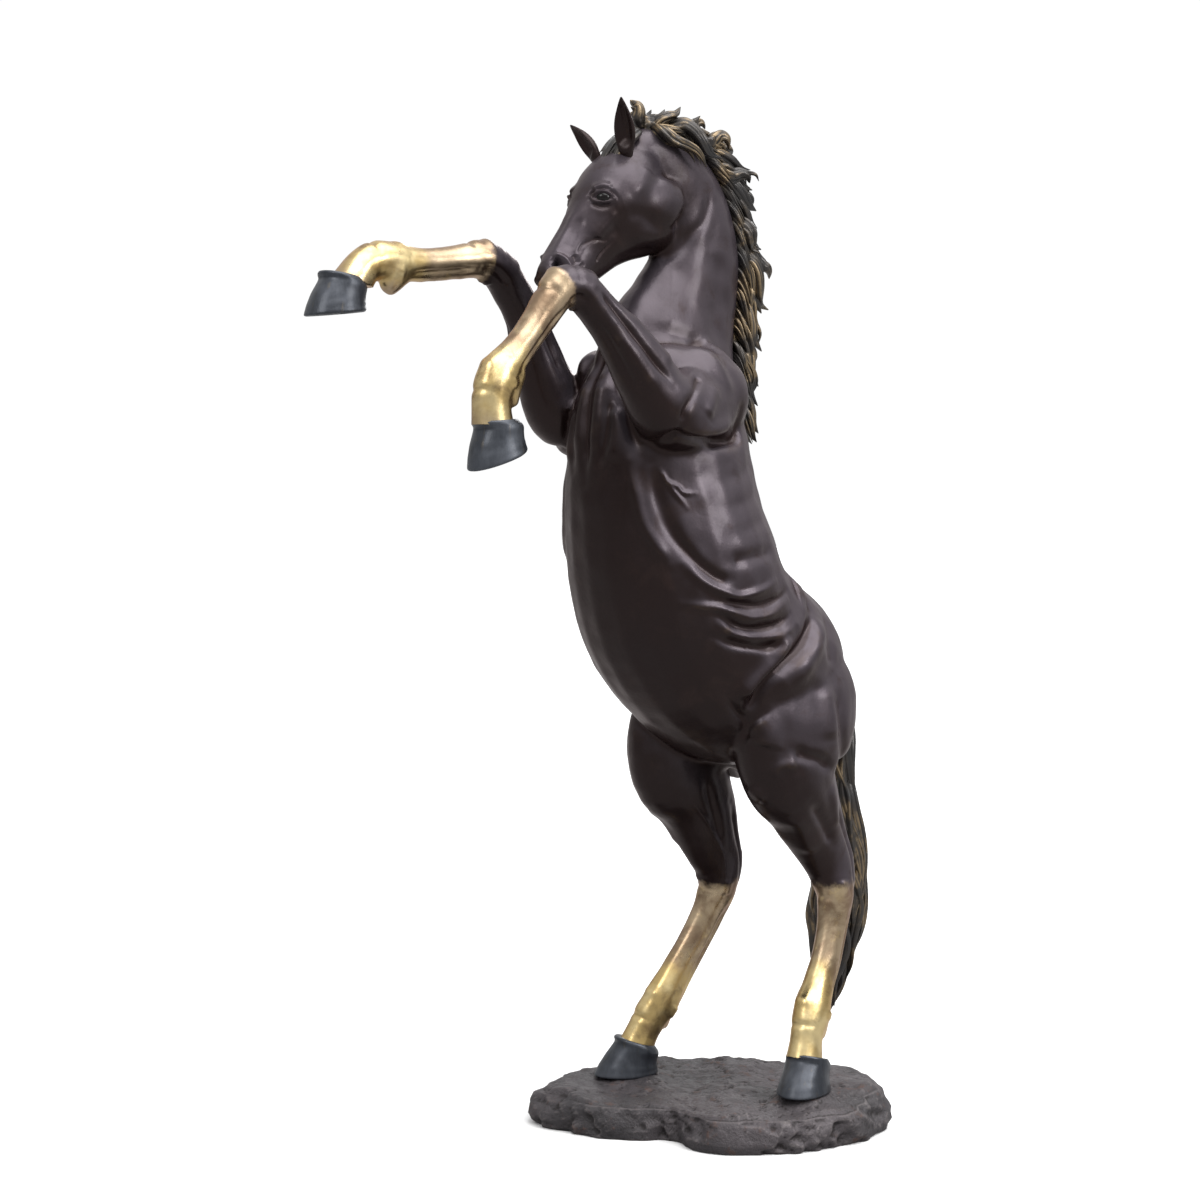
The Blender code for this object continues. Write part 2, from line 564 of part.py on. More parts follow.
TAIL_WELD = ((0.0, 0.400, 0.640), (0.0, 0.0, -1.0), (-0.2, 0.2))


def crest_point(place, up=0.0):
    k = min(int(place), len(CREST) - 2)
    y, z = (a + (b - a) * (place - k) for a, b in zip(CREST[k], CREST[k + 1]))
    return Vector((0.0, y, z + up))


def hair_forms():
    ridge = [(0, y, z, 0.030, 0.026, 0.030) for y, z in CREST[1:]]
    forms = [loft("ridge_form", ridge, steps=3, sides=12)]
    for place, offsets, width in LOCKS:
        root = crest_point(place)
        forms.append(lock([tuple(root + Vector(o)) for o in offsets], width))
    return forms


def tail_forms():
    """The trunk of the tail and the strands that stand out of it all round."""
    forms = [loft("tail_trunk", TAIL, steps=3, sides=16)]
    rows = np.array(TAIL)
    for k in range(7):
        angle = 2 * math.pi * (k + 0.3) / 7
        points = []
        for row in rows[2 + k % 2:9 + k % 2]:
            twist = angle + 0.9 * (1.0 - row[2])
            points.append((row[3] * 0.72 * math.cos(twist), row[1] + row[4] * 0.72 * math.sin(twist), row[2]))
        forms.append(lock(points, 0.026))
    return forms


def rock_radius(angle, radii):
    place = (angle - BASE_ANGLE) / (2 * math.pi) * len(radii) % len(radii)
    k = int(place)
    a, b, c, d = (radii[(k + i) % len(radii)] for i in (-1, 0, 1, 2))
    t = place - k
    return b + 0.5 * t * ((c - a) + t * (2 * a - 5 * b + 4 * c - d + t * (3 * b - a - 3 * c + d)))


def rock_top(x, y):
    """Height of the rock: uneven, and raised round each hind hoof, which stands a little into it."""
    top = BASE_HEIGHT + 0.007 * math.sin(13 * x + 1.0) * math.cos(11 * y) + 0.005 * math.sin(23 * (x + y))
    for hoof_name in ("hoof_hind_right", "hoof_hind_left"):
        sole = Vector(HOOVES[hoof_name][0])
        near = math.exp(-((x - sole.x) ** 2 + (y - sole.y) ** 2) / 0.075 ** 2)
        top += (sole.z + 0.006 - top) * min(1.15 * near, 1.0)
    return top


def rock(name, inset, bottom):
    """The base's outside, or the hollow under it: a bulging irregular rim and an uneven top."""
    rng = random.Random(7)
    jitter = [rng.uniform(-1, 1) for _ in range(48)]
    bm = bmesh.new()
    loops = []
    sides = 36 if not inset else 18
    rim = [(bottom, 0.975), (0.022, 1.0), (0.048, 0.985), (0.068, 0.955)]
    for z, share in rim:
        loop = []
        for k in range(sides):
            angle = 2 * math.pi * k / sides
            wobble = 0.0 if inset else 0.010 * jitter[(k * 5 + int(z * 900)) % 48]
            radius = rock_radius(angle, BASE_RADII) * share + wobble - inset
            height = z if z < 0.03 else min(z, rock_top(0, 0)) - inset * 0.5
            loop.append(bm.verts.new((radius * math.cos(angle), radius * math.sin(angle), height)))
        loops.append(loop)
    for share in (0.90, 0.72, 0.50, 0.25) if not inset else (0.85, 0.40):
        loop = []
        for k in range(sides):
            angle = 2 * math.pi * k / sides
            radius = rock_radius(angle, BASE_RADII) * share - inset * share
            x, y = radius * math.cos(angle), radius * math.sin(angle)
            loop.append(bm.verts.new((x, y, (rock_top(x, y) if not inset else BASE_HEIGHT - 0.006) - inset)))
        loops.append(loop)
    bridge(bm, loops)
    obj = linked(name, mesh_of(bm, name), tools)
    return helper(obj) if inset else obj


def cylinder(name, start, end, radius, collection, sides=20):
    """A round bar between two points."""
    start, end = Vector(start), Vector(end)
    bm = bmesh.new()
    bmesh.ops.create_cone(bm, cap_ends=True, segments=sides, radius1=radius, radius2=radius,
                          depth=(end - start).length)
    turn = (end - start).to_track_quat("Z", "Y").to_matrix().to_4x4()
    bmesh.ops.transform(bm, verts=bm.verts, matrix=Matrix.Translation((start + end) / 2) @ turn)
    return linked(name, mesh_of(bm, name), collection)


def bent_bar(name, points, radius, collection):
    """A round bar bent through points, with its ends square to its first and last runs."""
    form = loft(name, [(*p, radius, radius, radius) for p in points], steps=1, sides=8)
    mesh = form.data
    bpy.data.objects.remove(form)
    return linked(name, mesh, collection)


def rod_path(rings, start):
    """Up from the anchor bar through the hoof and along the middle of the leg into the pelvis."""
    x, y = start
    points = [(x, y, 0.0006), (x, y, 0.060), (x, y, 0.110)]
    points += [ring[:3] for ring in reversed(rings[3:-1])]
    x = math.copysign(0.108, x)
    return points + [(x, CROSSBAR[0], 0.960), (x, CROSSBAR[0], CROSSBAR[1] - CROSSBAR_RADIUS - GAP)]


def spine_path():
    """Along the inside of the back, then up the middle of the neck."""
    rows = through(TORSO[2:9], 1)
    tangents = np.gradient(rows[:, :3], axis=0)
    y, z = CROSSBAR
    points = [(0, y, z + CROSSBAR_RADIUS + GAP), (0, y + 0.002, z + 0.045)]
    for row, tangent in zip(rows, tangents):
        along = Vector(tangent).normalized()
        points.append(tuple(Vector(row[:3]) + along.cross(Vector((-1, 0, 0))) * -0.55 * row[4]))
    points.append((0, -0.090, 1.700))
    points.append((0, -0.110, 1.800))
    return points


def body_sections(materials):
    outer = merged("outer_form", body_forms(0.0), BODY_VOXEL, BODY_SMOOTHING, BODY_TRIANGLES)
    clearance = grown(outer, "outer_clearance", 6 * GAP)
    core = merged("core_form", body_forms(WALL), BODY_VOXEL, BODY_SMOOTHING, CORE_TRIANGLES)
    stock = linked("stock", outer.data.copy(), tools)
    boolean(stock, core, "DIFFERENCE")
    stock = helper(baked(stock, "stock", tools))
    for name in HOOVES:
        side = (0.003, LEG_SPAN) if name.endswith("left") else (-LEG_SPAN, -0.003)
        if "fore" in name:
            side = (0.08, LEG_SPAN) if name.endswith("left") else (-LEG_SPAN, -0.08)
        waste, stock = saw(stock, name + "_waste", coronet_weld(name, side))
        bpy.data.objects.remove(waste)
    sections = []
    for name, weld in WELDS.items():
        piece, stock = saw(stock, name, weld)
        sections.append(piece)
    sections.append(linked("hindquarters", stock.data.copy(), horse))
    for section in sections:
        keep_largest(section)
        gold = section.name.startswith("lower_")
        finished(section, materials["gold" if gold else "dark"])
    return clearance


def hair_sections(ears, clearance, materials):
    stock = merged("hair_form", hair_forms(), 0.006, 2, HAIR_TRIANGLES)
    for cutter in [clearance, *[grown(e, e.name + "_clearance", 2 * GAP) for e in ears]]:
        boolean(stock, cutter, "DIFFERENCE")
    stock = helper(baked(stock, "stock", tools))
    sections = []
    for name, weld in HAIR_WELDS.items():
        piece, stock = saw(stock, name, weld)
        sections.append(piece)
    sections.append(linked("mane_lower", stock.data.copy(), horse))
    tail = merged("tail_form", tail_forms(), 0.008, 3, TAIL_TRIANGLES)
    boolean(tail, clearance, "DIFFERENCE")
    tail = helper(baked(tail, "tail_stock", tools))
    piece, tail = saw(tail, "tail_lower", TAIL_WELD)
    sections += [piece, linked("tail_upper", tail.data.copy(), horse)]
    for section in sections:
        finished(keep_largest(section), materials["hair"])


def frame_parts(materials):
    """The steel inside: an anchor bar under the base, a rod up each hind leg, a cross bar and a spine."""
    starts = {"left": (HIND_LEFT, 1), "right": (HIND_RIGHT, -1)}
    across = Vector((*ROD_FOOT, 0.0))
    bar = horse_box("anchor_bar", (0.520, 0.060, BAR_THICKNESS), (0, 0, BAR_THICKNESS / 2), across)
    steel = [bar]
    for side, (rings, sign) in starts.items():
        x, y = ROD_FOOT[0] * sign, ROD_FOOT[1] * sign
        rod = bent_bar(f"leg_rod_{side}", rod_path(rings, (x, y)), ROD_RADIUS, horse)
        drill = helper(cylinder("bar_drill", (x, y, -0.01), (x, y, 0.05), ROD_RADIUS + 0.0006, tools, 12))
        boolean(bar, drill, "DIFFERENCE")
        washer = cylinder(f"rod_washer_{side}", (x, y, BAR_THICKNESS + GAP), (x, y, 0.0134), 0.019, horse, 16)
        nut = cylinder(f"rod_nut_{side}", (x, y, 0.0138), (x, y, 0.0288), 0.0165, horse, 6)
        boolean(washer, drill, "DIFFERENCE")
        boolean(nut, drill, "DIFFERENCE")
        steel += [rod, washer, nut]
    ends = [(-0.130, *CROSSBAR), (0.130, *CROSSBAR)]
    steel.append(cylinder("pelvis_crossbar", *ends, CROSSBAR_RADIUS, horse, 16))
    steel.append(bent_bar("spine_tube", spine_path(), 0.014, horse))
    for obj in steel:
        finished(obj, materials["steel"])
    return steel


def horse_box(name, size, centre, along):
    """A flat bar turned about +Z to lie along a direction."""
    bm = bmesh.new()
    bmesh.ops.create_cube(bm, size=1.0)
    turn = Matrix.Rotation(math.atan2(along.y, along.x), 4, "Z")
    bmesh.ops.transform(bm, verts=bm.verts, matrix=turn @ Matrix.Diagonal((*size, 1.0)))
    obj = linked(name, mesh_of(bm, name), horse)
    obj.location = centre
    return obj


def main():
    clear_scene()
    materials = {
        "dark": metal("dark_bronze", BRONZE_DARK, 0.32),
        "gold": metal("gold_bronze", BRONZE_GOLD, 0.28),
        "hoof": metal("hoof_bronze", BRONZE_HOOF, 0.38),
        "hair": metal("hair_bronze", BRONZE_HAIR, 0.42),
        "rock": metal("rock_bronze", ROCK, 0.75, 0.6),
        "steel": metal("frame_steel", STEEL, 0.40),
    }
    clearance = body_sections(materials)
    ears = [
        ear("ear_left", (0.046, -0.315, 2.200), (0.076, -0.352, 2.306), (0.45, -0.90, 0.10), 0.030),
        ear("ear_right", (-0.046, -0.325, 2.195), (-0.100, -0.345, 2.270), (-0.50, -0.86, 0.10), 0.030),
    ]
    ears = [finished(trimmed(e, [clearance], e.name), materials["dark"]) for e in ears]
    hair_sections(ears, clearance, materials)
    base = rock("base_shell", 0.0, 0.0)
    hollow = rock("base_hollow", BASE_WALL, -0.010)
    boolean(base, hollow, "DIFFERENCE")
    for name in HOOVES:
        piece = hoof(name)
        if "hind" in name:
            boolean(base, helper(grown(piece, name + "_clearance", 2 * GAP)), "DIFFERENCE")
            rings, sign = (HIND_LEFT, 1) if name.endswith("left") else (HIND_RIGHT, -1)
            path = rod_path(rings, (ROD_FOOT[0] * sign, ROD_FOOT[1] * sign))
            drill = helper(bent_bar(name + "_drill", path, ROD_RADIUS + 0.0015, tools))
            boolean(base, drill, "DIFFERENCE")
            boolean(piece, drill, "DIFFERENCE")
        finished(piece, materials["hoof"])
    finished(baked(base, "base_shell", horse), materials["rock"])
    frame_parts(materials)
    for obj in horse.objects:
        obj.data.shade_smooth()
        obj.data.set_sharp_from_angle(angle=math.radians(40))


main()
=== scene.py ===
"""The looks of a life-size rearing horse in patinated bronze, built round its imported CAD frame.

The horse faces -Y and its left side is +X. The body is one fine surface lofted from rings, sculpted with
strokes along its normals, and divided at the weld planes of the castings.
"""

import math
import random

import bmesh
import bpy
import numpy as np
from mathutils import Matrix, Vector, noise


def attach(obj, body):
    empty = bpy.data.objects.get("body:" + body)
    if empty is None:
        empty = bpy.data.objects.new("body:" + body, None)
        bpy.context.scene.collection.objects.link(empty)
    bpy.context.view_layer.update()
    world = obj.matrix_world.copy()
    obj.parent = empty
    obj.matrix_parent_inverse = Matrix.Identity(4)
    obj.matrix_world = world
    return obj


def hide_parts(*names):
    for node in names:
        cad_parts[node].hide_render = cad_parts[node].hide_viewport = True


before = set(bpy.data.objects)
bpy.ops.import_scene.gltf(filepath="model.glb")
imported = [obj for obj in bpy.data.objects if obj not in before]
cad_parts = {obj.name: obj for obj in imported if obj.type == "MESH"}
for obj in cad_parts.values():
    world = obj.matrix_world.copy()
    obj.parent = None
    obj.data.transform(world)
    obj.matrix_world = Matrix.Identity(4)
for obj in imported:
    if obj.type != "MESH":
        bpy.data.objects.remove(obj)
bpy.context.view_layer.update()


def metres(value):
    """The same nest of lists with its lengths, which are given in millimetres, in metres."""
    if isinstance(value, (list, tuple)):
        return type(value)(metres(v) for v in value)
    return value if isinstance(value, str) else value / 1000


LIT_SIDE = (0.28, 0.20, 0.94)  # direction of the painted light: surfaces facing it get a lighter, greyer patina colour (painted highlight), those turned away a darker red-brown (painted shade)
VOXEL = 0.004
SMOOTHING = 34
HOOF_SEAT_LEFT = 0.100
HOOF_SEAT_RIGHT = 0.092

# Rings of the forms, each (x, y, z, half width, dorsal or front depth, ventral or rear depth), in millimetres.
TORSO = metres([
    (0, 275, 905, 60, 60, 70), (0, 215, 950, 165, 180, 160), (0, 135, 1015, 215, 228, 225),
    (0, 50, 1080, 234, 224, 255), (0, -30, 1150, 236, 210, 268), (0, -90, 1225, 238, 215, 270),
    (0, -130, 1310, 236, 220, 255), (0, -155, 1400, 218, 215, 240), (0, -170, 1490, 196, 215, 230),
    (0, -180, 1580, 178, 215, 215), (0, -180, 1660, 150, 205, 200), (0, -165, 1730, 110, 160, 160),
])
NECK = metres([
    (0, -175, 1560, 130, 190, 190), (0, -165, 1670, 122, 195, 195), (0, -140, 1770, 105, 175, 185),
    (0, -105, 1860, 85, 140, 155), (0, -80, 1940, 74, 126, 130), (0, -75, 2020, 69, 118, 115),
    (0, -100, 2100, 66, 108, 105), (0, -150, 2165, 62, 90, 100), (0, -215, 2205, 54, 62, 80),
    (0, -270, 2205, 44, 40, 60),
])
HEAD = metres([
    (0, -205, 2195, 40, 30, 100), (0, -255, 2165, 66, 68, 165), (0, -300, 2120, 82, 84, 185),
    (0, -335, 2075, 79, 82, 155), (0, -368, 2030, 62, 74, 112), (0, -401, 1985, 50, 68, 82),
    (0, -433, 1945, 46, 66, 64), (0, -458, 1915, 48, 62, 56), (0, -472, 1888, 42, 50, 46),
    (0, -479, 1872, 26, 28, 28),
])
HIND_RIGHT = metres([
    (-100, 120, 1080, 90, 150, 150), (-115, 110, 1000, 105, 185, 185), (-128, 85, 930, 108, 195, 185),
    (-135, 30, 860, 100, 178, 165), (-135, 18, 800, 90, 138, 135), (-132, 48, 740, 78, 98, 112),
    (-130, 78, 685, 66, 84, 98), (-130, 105, 630, 52, 78, 82), (-133, 130, 575, 46, 66, 70),
    (-140, 132, 520, 41, 52, 58), (-150, 112, 460, 34, 42, 48), (-158, 75, 395, 32, 40, 46),
    (-166, 28, 325, 33, 42, 46), (-174, -12, 265, 39, 46, 48), (-183, -40, 225, 38, 44, 46),
    (-190, -62, 185, 36, 42, 42), (-196, -85, 135, 44, 50, 50),
])
HIND_LEFT = metres([
    (100, 130, 1080, 90, 150, 150), (118, 125, 1005, 105, 185, 185), (132, 108, 935, 108, 190, 180),
    (142, 92, 865, 100, 150, 155), (142, 100, 805, 90, 118, 128), (138, 136, 750, 78, 90, 105),
    (132, 172, 700, 65, 82, 92), (130, 210, 645, 52, 72, 78), (132, 240, 590, 46, 64, 66),
    (140, 245, 530, 41, 50, 54), (148, 232, 470, 34, 42, 44), (156, 208, 405, 32, 38, 42),
    (166, 170, 335, 33, 40, 42), (176, 138, 285, 39, 46, 46), (184, 118, 250, 38, 44, 44),
    (190, 102, 210, 36, 40, 40), (196, 88, 150, 44, 50, 48),
])
FORE_LEFT = metres([
    (85, -80, 1700, 70, 110, 110), (120, -175, 1650, 80, 110, 100), (150, -260, 1625, 82, 105, 82),
    (168, -325, 1645, 72, 92, 70), (172, -370, 1695, 61, 76, 63), (172, -410, 1742, 53, 62, 56),
    (168, -455, 1797, 45, 50, 46), (163, -505, 1848, 41, 44, 42), (158, -550, 1882, 43, 46, 40),
    (155, -590, 1872, 41, 46, 40), (155, -625, 1835, 34, 38, 40), (155, -665, 1787, 30, 32, 36),
    (155, -705, 1742, 31, 34, 38), (155, -742, 1702, 37, 42, 42), (155, -762, 1665, 38, 44, 42),
    (155, -765, 1630, 37, 41, 41), (155, -758, 1570, 44, 50, 48),
])
FORE_RIGHT = metres([
    (-85, -80, 1700, 70, 110, 110), (-120, -180, 1645, 80, 110, 100), (-150, -270, 1615, 82, 105, 82),
    (-168, -335, 1640, 72, 88, 70), (-172, -365, 1700, 60, 72, 64), (-170, -392, 1765, 50, 58, 56),
    (-165, -425, 1835, 44, 48, 46), (-160, -470, 1900, 41, 44, 42), (-156, -515, 1945, 43, 46, 40),
    (-155, -560, 1962, 41, 44, 40), (-155, -610, 1958, 34, 36, 38), (-155, -665, 1950, 30, 32, 36),
    (-155, -720, 1944, 31, 33, 37), (-155, -775, 1943, 36, 40, 42), (-155, -825, 1943, 38, 42, 42),
    (-155, -865, 1925, 37, 41, 41), (-155, -905, 1870, 44, 48, 48),
])
# The tufts of the four fetlocks, each from its root to its tip, and the lobe in front of the left stifle.
TUFTS = metres([
    [(-178, 6, 275, 26, 28, 28), (-184, -3, 225, 24, 26, 26), (-188, -2, 186, 14, 15, 15)],
    [(178, 155, 290, 26, 28, 28), (183, 149, 243, 24, 26, 26), (186, 150, 206, 14, 15, 15)],
    [(155, -708, 1705, 29, 29, 29), (155, -719, 1662, 24, 26, 26), (155, -714, 1630, 15, 16, 16)],
    [(-155, -770, 1925, 29, 31, 31), (-155, -790, 1900, 25, 26, 26), (-155, -806, 1880, 17, 18, 18)],
    [(150, 20, 815, 34, 34, 34), (151, -8, 794, 31, 31, 31), (151, -28, 776, 21, 21, 21)],
])
SHOULDER = metres([
    (70, -40, 1700, 36, 46, 46), (103, -78, 1688, 56, 80, 85), (122, -135, 1672, 62, 100, 100),
    (125, -200, 1680, 66, 105, 105), (100, -270, 1720, 50, 70, 80), (75, -315, 1740, 30, 30, 30),
])

# Weld planes, each (point, normal pointing at the piece that comes off, lateral range), and where the defaults
# in plane_frame would reach too far, also depth and breadth. A plane crosses x level.
LEG_SPAN = 0.34
WELDS = {
    "lower_hind_leg_right": ((-0.140, 0.134, 0.512), (0.0, -0.15, -1.0), (-LEG_SPAN, -0.003)),
    "lower_hind_leg_left": ((0.142, 0.244, 0.527), (0.0, -0.10, -1.0), (0.003, LEG_SPAN)),
    "upper_hind_leg_right": ((-0.135, 0.030, 0.815), (0.0, 0.0, -1.0), (-LEG_SPAN, -0.003)),
    "upper_hind_leg_left": ((0.142, 0.086, 0.815), (0.0, 0.1, -1.0), (0.003, LEG_SPAN)),
    "lower_fore_leg_left": ((0.156, -0.582, 1.878), (0.0, -1.0, -0.45), (0.080, LEG_SPAN), 0.6, 0.5),
    "lower_fore_leg_right": ((-0.155, -0.548, 1.958), (0.0, -1.0, 0.15), (-LEG_SPAN, -0.080), 0.6, 0.5),
    "forearm_left": ((0.172, -0.378, 1.705), (0.0, -0.66, 0.75), (0.100, LEG_SPAN)),
    "forearm_right": ((-0.171, -0.378, 1.728), (0.0, -0.50, 0.86), (-LEG_SPAN, -0.100)),
    "head": ((0.0, -0.235, 2.140), (0.0, -0.80, 0.25), (-0.120, 0.120), 0.9, 0.80),
    "neck": ((0.0, -0.140, 1.790), (0.0, 0.18, 1.0), (-0.120, 0.120)),
    "chest": ((0.0, -0.170, 1.500), (0.0, -0.25, 1.0), (-LEG_SPAN, LEG_SPAN)),
    "barrel": ((0.0, -0.040, 1.165), (0.0, -0.60, 1.0), (-LEG_SPAN, LEG_SPAN)),
}

# Hooves, each (centre of the sole, direction of the toe, direction away from the ground).
HOOVES = {
    "hoof_hind_right": ((-0.200, -0.095, HOOF_SEAT_RIGHT), (-0.35, -0.94, 0.0), (0.0, 0.0, 1.0)),
    "hoof_hind_left": ((0.200, 0.088, HOOF_SEAT_LEFT), (0.35, -0.94, 0.0), (0.0, 0.0, 1.0)),
    "hoof_fore_left": ((0.155, -0.744, 1.525), (0.0, -0.932, -0.360), (0.0, -0.360, 0.932)),
    "hoof_fore_right": ((-0.155, -0.927, 1.826), (0.0, -0.994, -0.110), (0.0, -0.110, 0.994)),
}
CORONET_FRONT = Vector((0.028, 0.090))  # toeward and upward of the sole's centre
CORONET_BACK = Vector((-0.062, 0.063))

# Rock base outline: radius at equal steps of angle, from the +X axis turned to BASE_ANGLE.
BASE_ANGLE = math.radians(50)
BASE_RADII = [0.405, 0.410, 0.395, 0.330, 0.285, 0.262, 0.258, 0.268, 0.315, 0.330, 0.362, 0.415,
              0.425, 0.355, 0.285, 0.205, 0.186, 0.224, 0.248, 0.260, 0.285, 0.318, 0.362, 0.390]
BASE_HEIGHT = 0.078
ROCK_EDGE = 0.072  # height of the rim before the rock's own rise

# Ear stations (place from base to tip, share of the full width, share of the full hollow), and its section.
EAR_STATIONS = [(-0.20, 0.50, 0.0), (0.0, 0.72, 0.0), (0.2, 0.96, 0.9), (0.4, 1.0, 1.0), (0.6, 0.84, 1.0),
                (0.8, 0.50, 0.8), (0.93, 0.24, 0.2), (1.0, 0.06, 0.0)]
EAR_BACK = [-112, -80, -45, 0, 45, 80, 112]
EAR_FRONT = [(128, 96, 0.66), (150, 60, 0.50), (180, 0, 0.42), (210, -60, 0.50), (232, -96, 0.66)]
EAR_WIDTH = 0.025
EYE_RADIUS = 0.0152
EYE_LENGTH = 1.18  # over its height
EYE_PLACE, EYE_FACING = (0.0490, -0.3820, 2.0905), (0.68, -0.72, 0.10)

CAMERA_PLACE, CAMERA_LOOKS_AT = (3.674, -3.433, 1.45), (-0.309, -0.091, 1.205)
SENSOR = 36.0
LAMPS = [("key", (1.0, -4.6, 4.6), 2.2, 60.0), ("side", (4.8, 1.6, 3.6), 2.0, 90.0),
         ("back", (-3.2, 3.4, 3.6), 2.4, 60.0)]
LAMPS_LOOK_AT = (0, -0.2, 1.2)

# Crest of the neck from the poll to the withers, as (y, z) under the hair.
CREST = metres([
    (-300, 2215), (-235, 2262), (-150, 2262), (-75, 2235), (-20, 2178), (15, 2110), (35, 2040), (45, 1960),
    (43, 1880), (37, 1800), (36, 1720), (44, 1640),
])
# Free locks, each (place along the crest, offsets from it to the root and the points after it, width).
LOCKS = [(place, metres(offsets), width / 1000) for place, offsets, width in [
    (1.0, [(0, 0, 0), (4, -12, 30), (4, -26, 58)], 20),
    (1.2, [(10, 0, 0), (56, 10, -20), (78, 50, -50), (86, 105, -78)], 20),
    (1.7, [(10, 0, 5), (45, 30, 4), (68, 75, -30), (78, 110, -65)], 22),
    (2.5, [(0, 0, 5), (12, 25, 25), (10, 60, 36)], 20),
    (2.9, [(10, 0, 0), (35, 35, 10), (40, 80, 5)], 26),
    (3.4, [(0, 0, 0), (20, 35, 12), (20, 76, 22)], 24),
    (4.0, [(10, 0, 0), (40, 30, -5), (50, 72, -10)], 26),
    (4.6, [(0, 0, 0), (20, 40, -2), (20, 86, -22)], 26),
    (5.4, [(10, 0, 0), (40, 30, -30), (48, 62, -72)], 26),
    (5.7, [(0, -10, 0), (18, 35, -30), (24, 78, -85), (20, 116, -100)], 28),
    (6.3, [(10, 0, 0), (36, 30, -40), (36, 58, -100), (30, 88, -140)], 24),
    (7.0, [(0, 0, 0), (24, 26, -45), (26, 44, -110)], 24),
    (7.8, [(0, 0, 0), (24, 22, -45), (22, 46, -112)], 23),
    (8.6, [(0, 0, 0), (24, 20, -40), (18, 56, -78)], 22),
    (8.9, [(10, 0, 0), (34, 18, -60), (22, 40, -130)], 22),
    (9.8, [(0, 0, 0), (18, 18, -50), (12, 42, -110)], 20),
    (10.6, [(0, 0, 0), (12, 20, -60), (8, 36, -130)], 16),
    (0.6, [(20, 0, 5), (26, -28, -16), (28, -58, -44), (22, -82, -80)], 18),
    (0.5, [(-10, 0, 5), (4, -28, -10), (6, -62, -36), (4, -92, -78)], 20),
    (0.6, [(-22, 0, 5), (-26, -28, -16), (-28, -60, -46)], 18),
    (2.0, [(-20, 0, 0), (-62, 25, -20), (-74, 50, -85)], 24),
    (4.2, [(-20, 0, 0), (-50, 30, -30), (-60, 52, -100)], 28),
    (6.0, [(-20, 0, 0), (-46, 26, -45), (-56, 36, -120)], 28),
    (7.9, [(-20, 0, 0), (-44, 14, -50), (-54, 12, -130)], 28),
]]
# Where the mane's castings meet, each (point, normal); mane_lower is what is left.
HAIR_WELDS = {
    "forelock": ((0.0, -0.282, 2.20), (0.0, -1.0, 0.0)),
    "mane_poll": ((0.0, -0.050, 2.20), (0.0, -0.62, 0.78)),
    "mane_upper": ((0.0, 0.045, 2.000), (0.0, 0.0, 1.0)),
    "mane_middle": ((0.0, 0.060, 1.790), (0.0, 0.0, 1.0)),
}
TAIL = metres([
    (0, 270, 1030, 45, 40, 40), (0, 335, 1030, 50, 44, 44), (0, 358, 970, 52, 48, 48),
    (0, 360, 890, 56, 50, 50), (0, 358, 800, 58, 54, 54), (0, 374, 700, 64, 60, 60), (0, 396, 600, 68, 62, 62),
    (0, 406, 500, 68, 60, 60), (0, 402, 410, 64, 54, 54), (0, 392, 330, 50, 44, 44), (0, 378, 260, 34, 30, 30),
    (0, 364, 205, 10, 10, 10),
])

EARS = [
    ("ear_left", (0.046, -0.315, 2.200), (0.076, -0.352, 2.306), (0.45, -0.90, 0.10)),
    ("ear_right", (-0.046, -0.325, 2.195), (-0.100, -0.345, 2.270), (-0.50, -0.86, 0.10)),
]

# The cheek muscle on the left of the head.
MASSETER = metres([
    (52, -170, 2110, 20, 30, 30), (62, -215, 2095, 22, 55, 55), (64, -260, 2085, 20, 50, 50),
    (58, -300, 2080, 14, 25, 25),
])

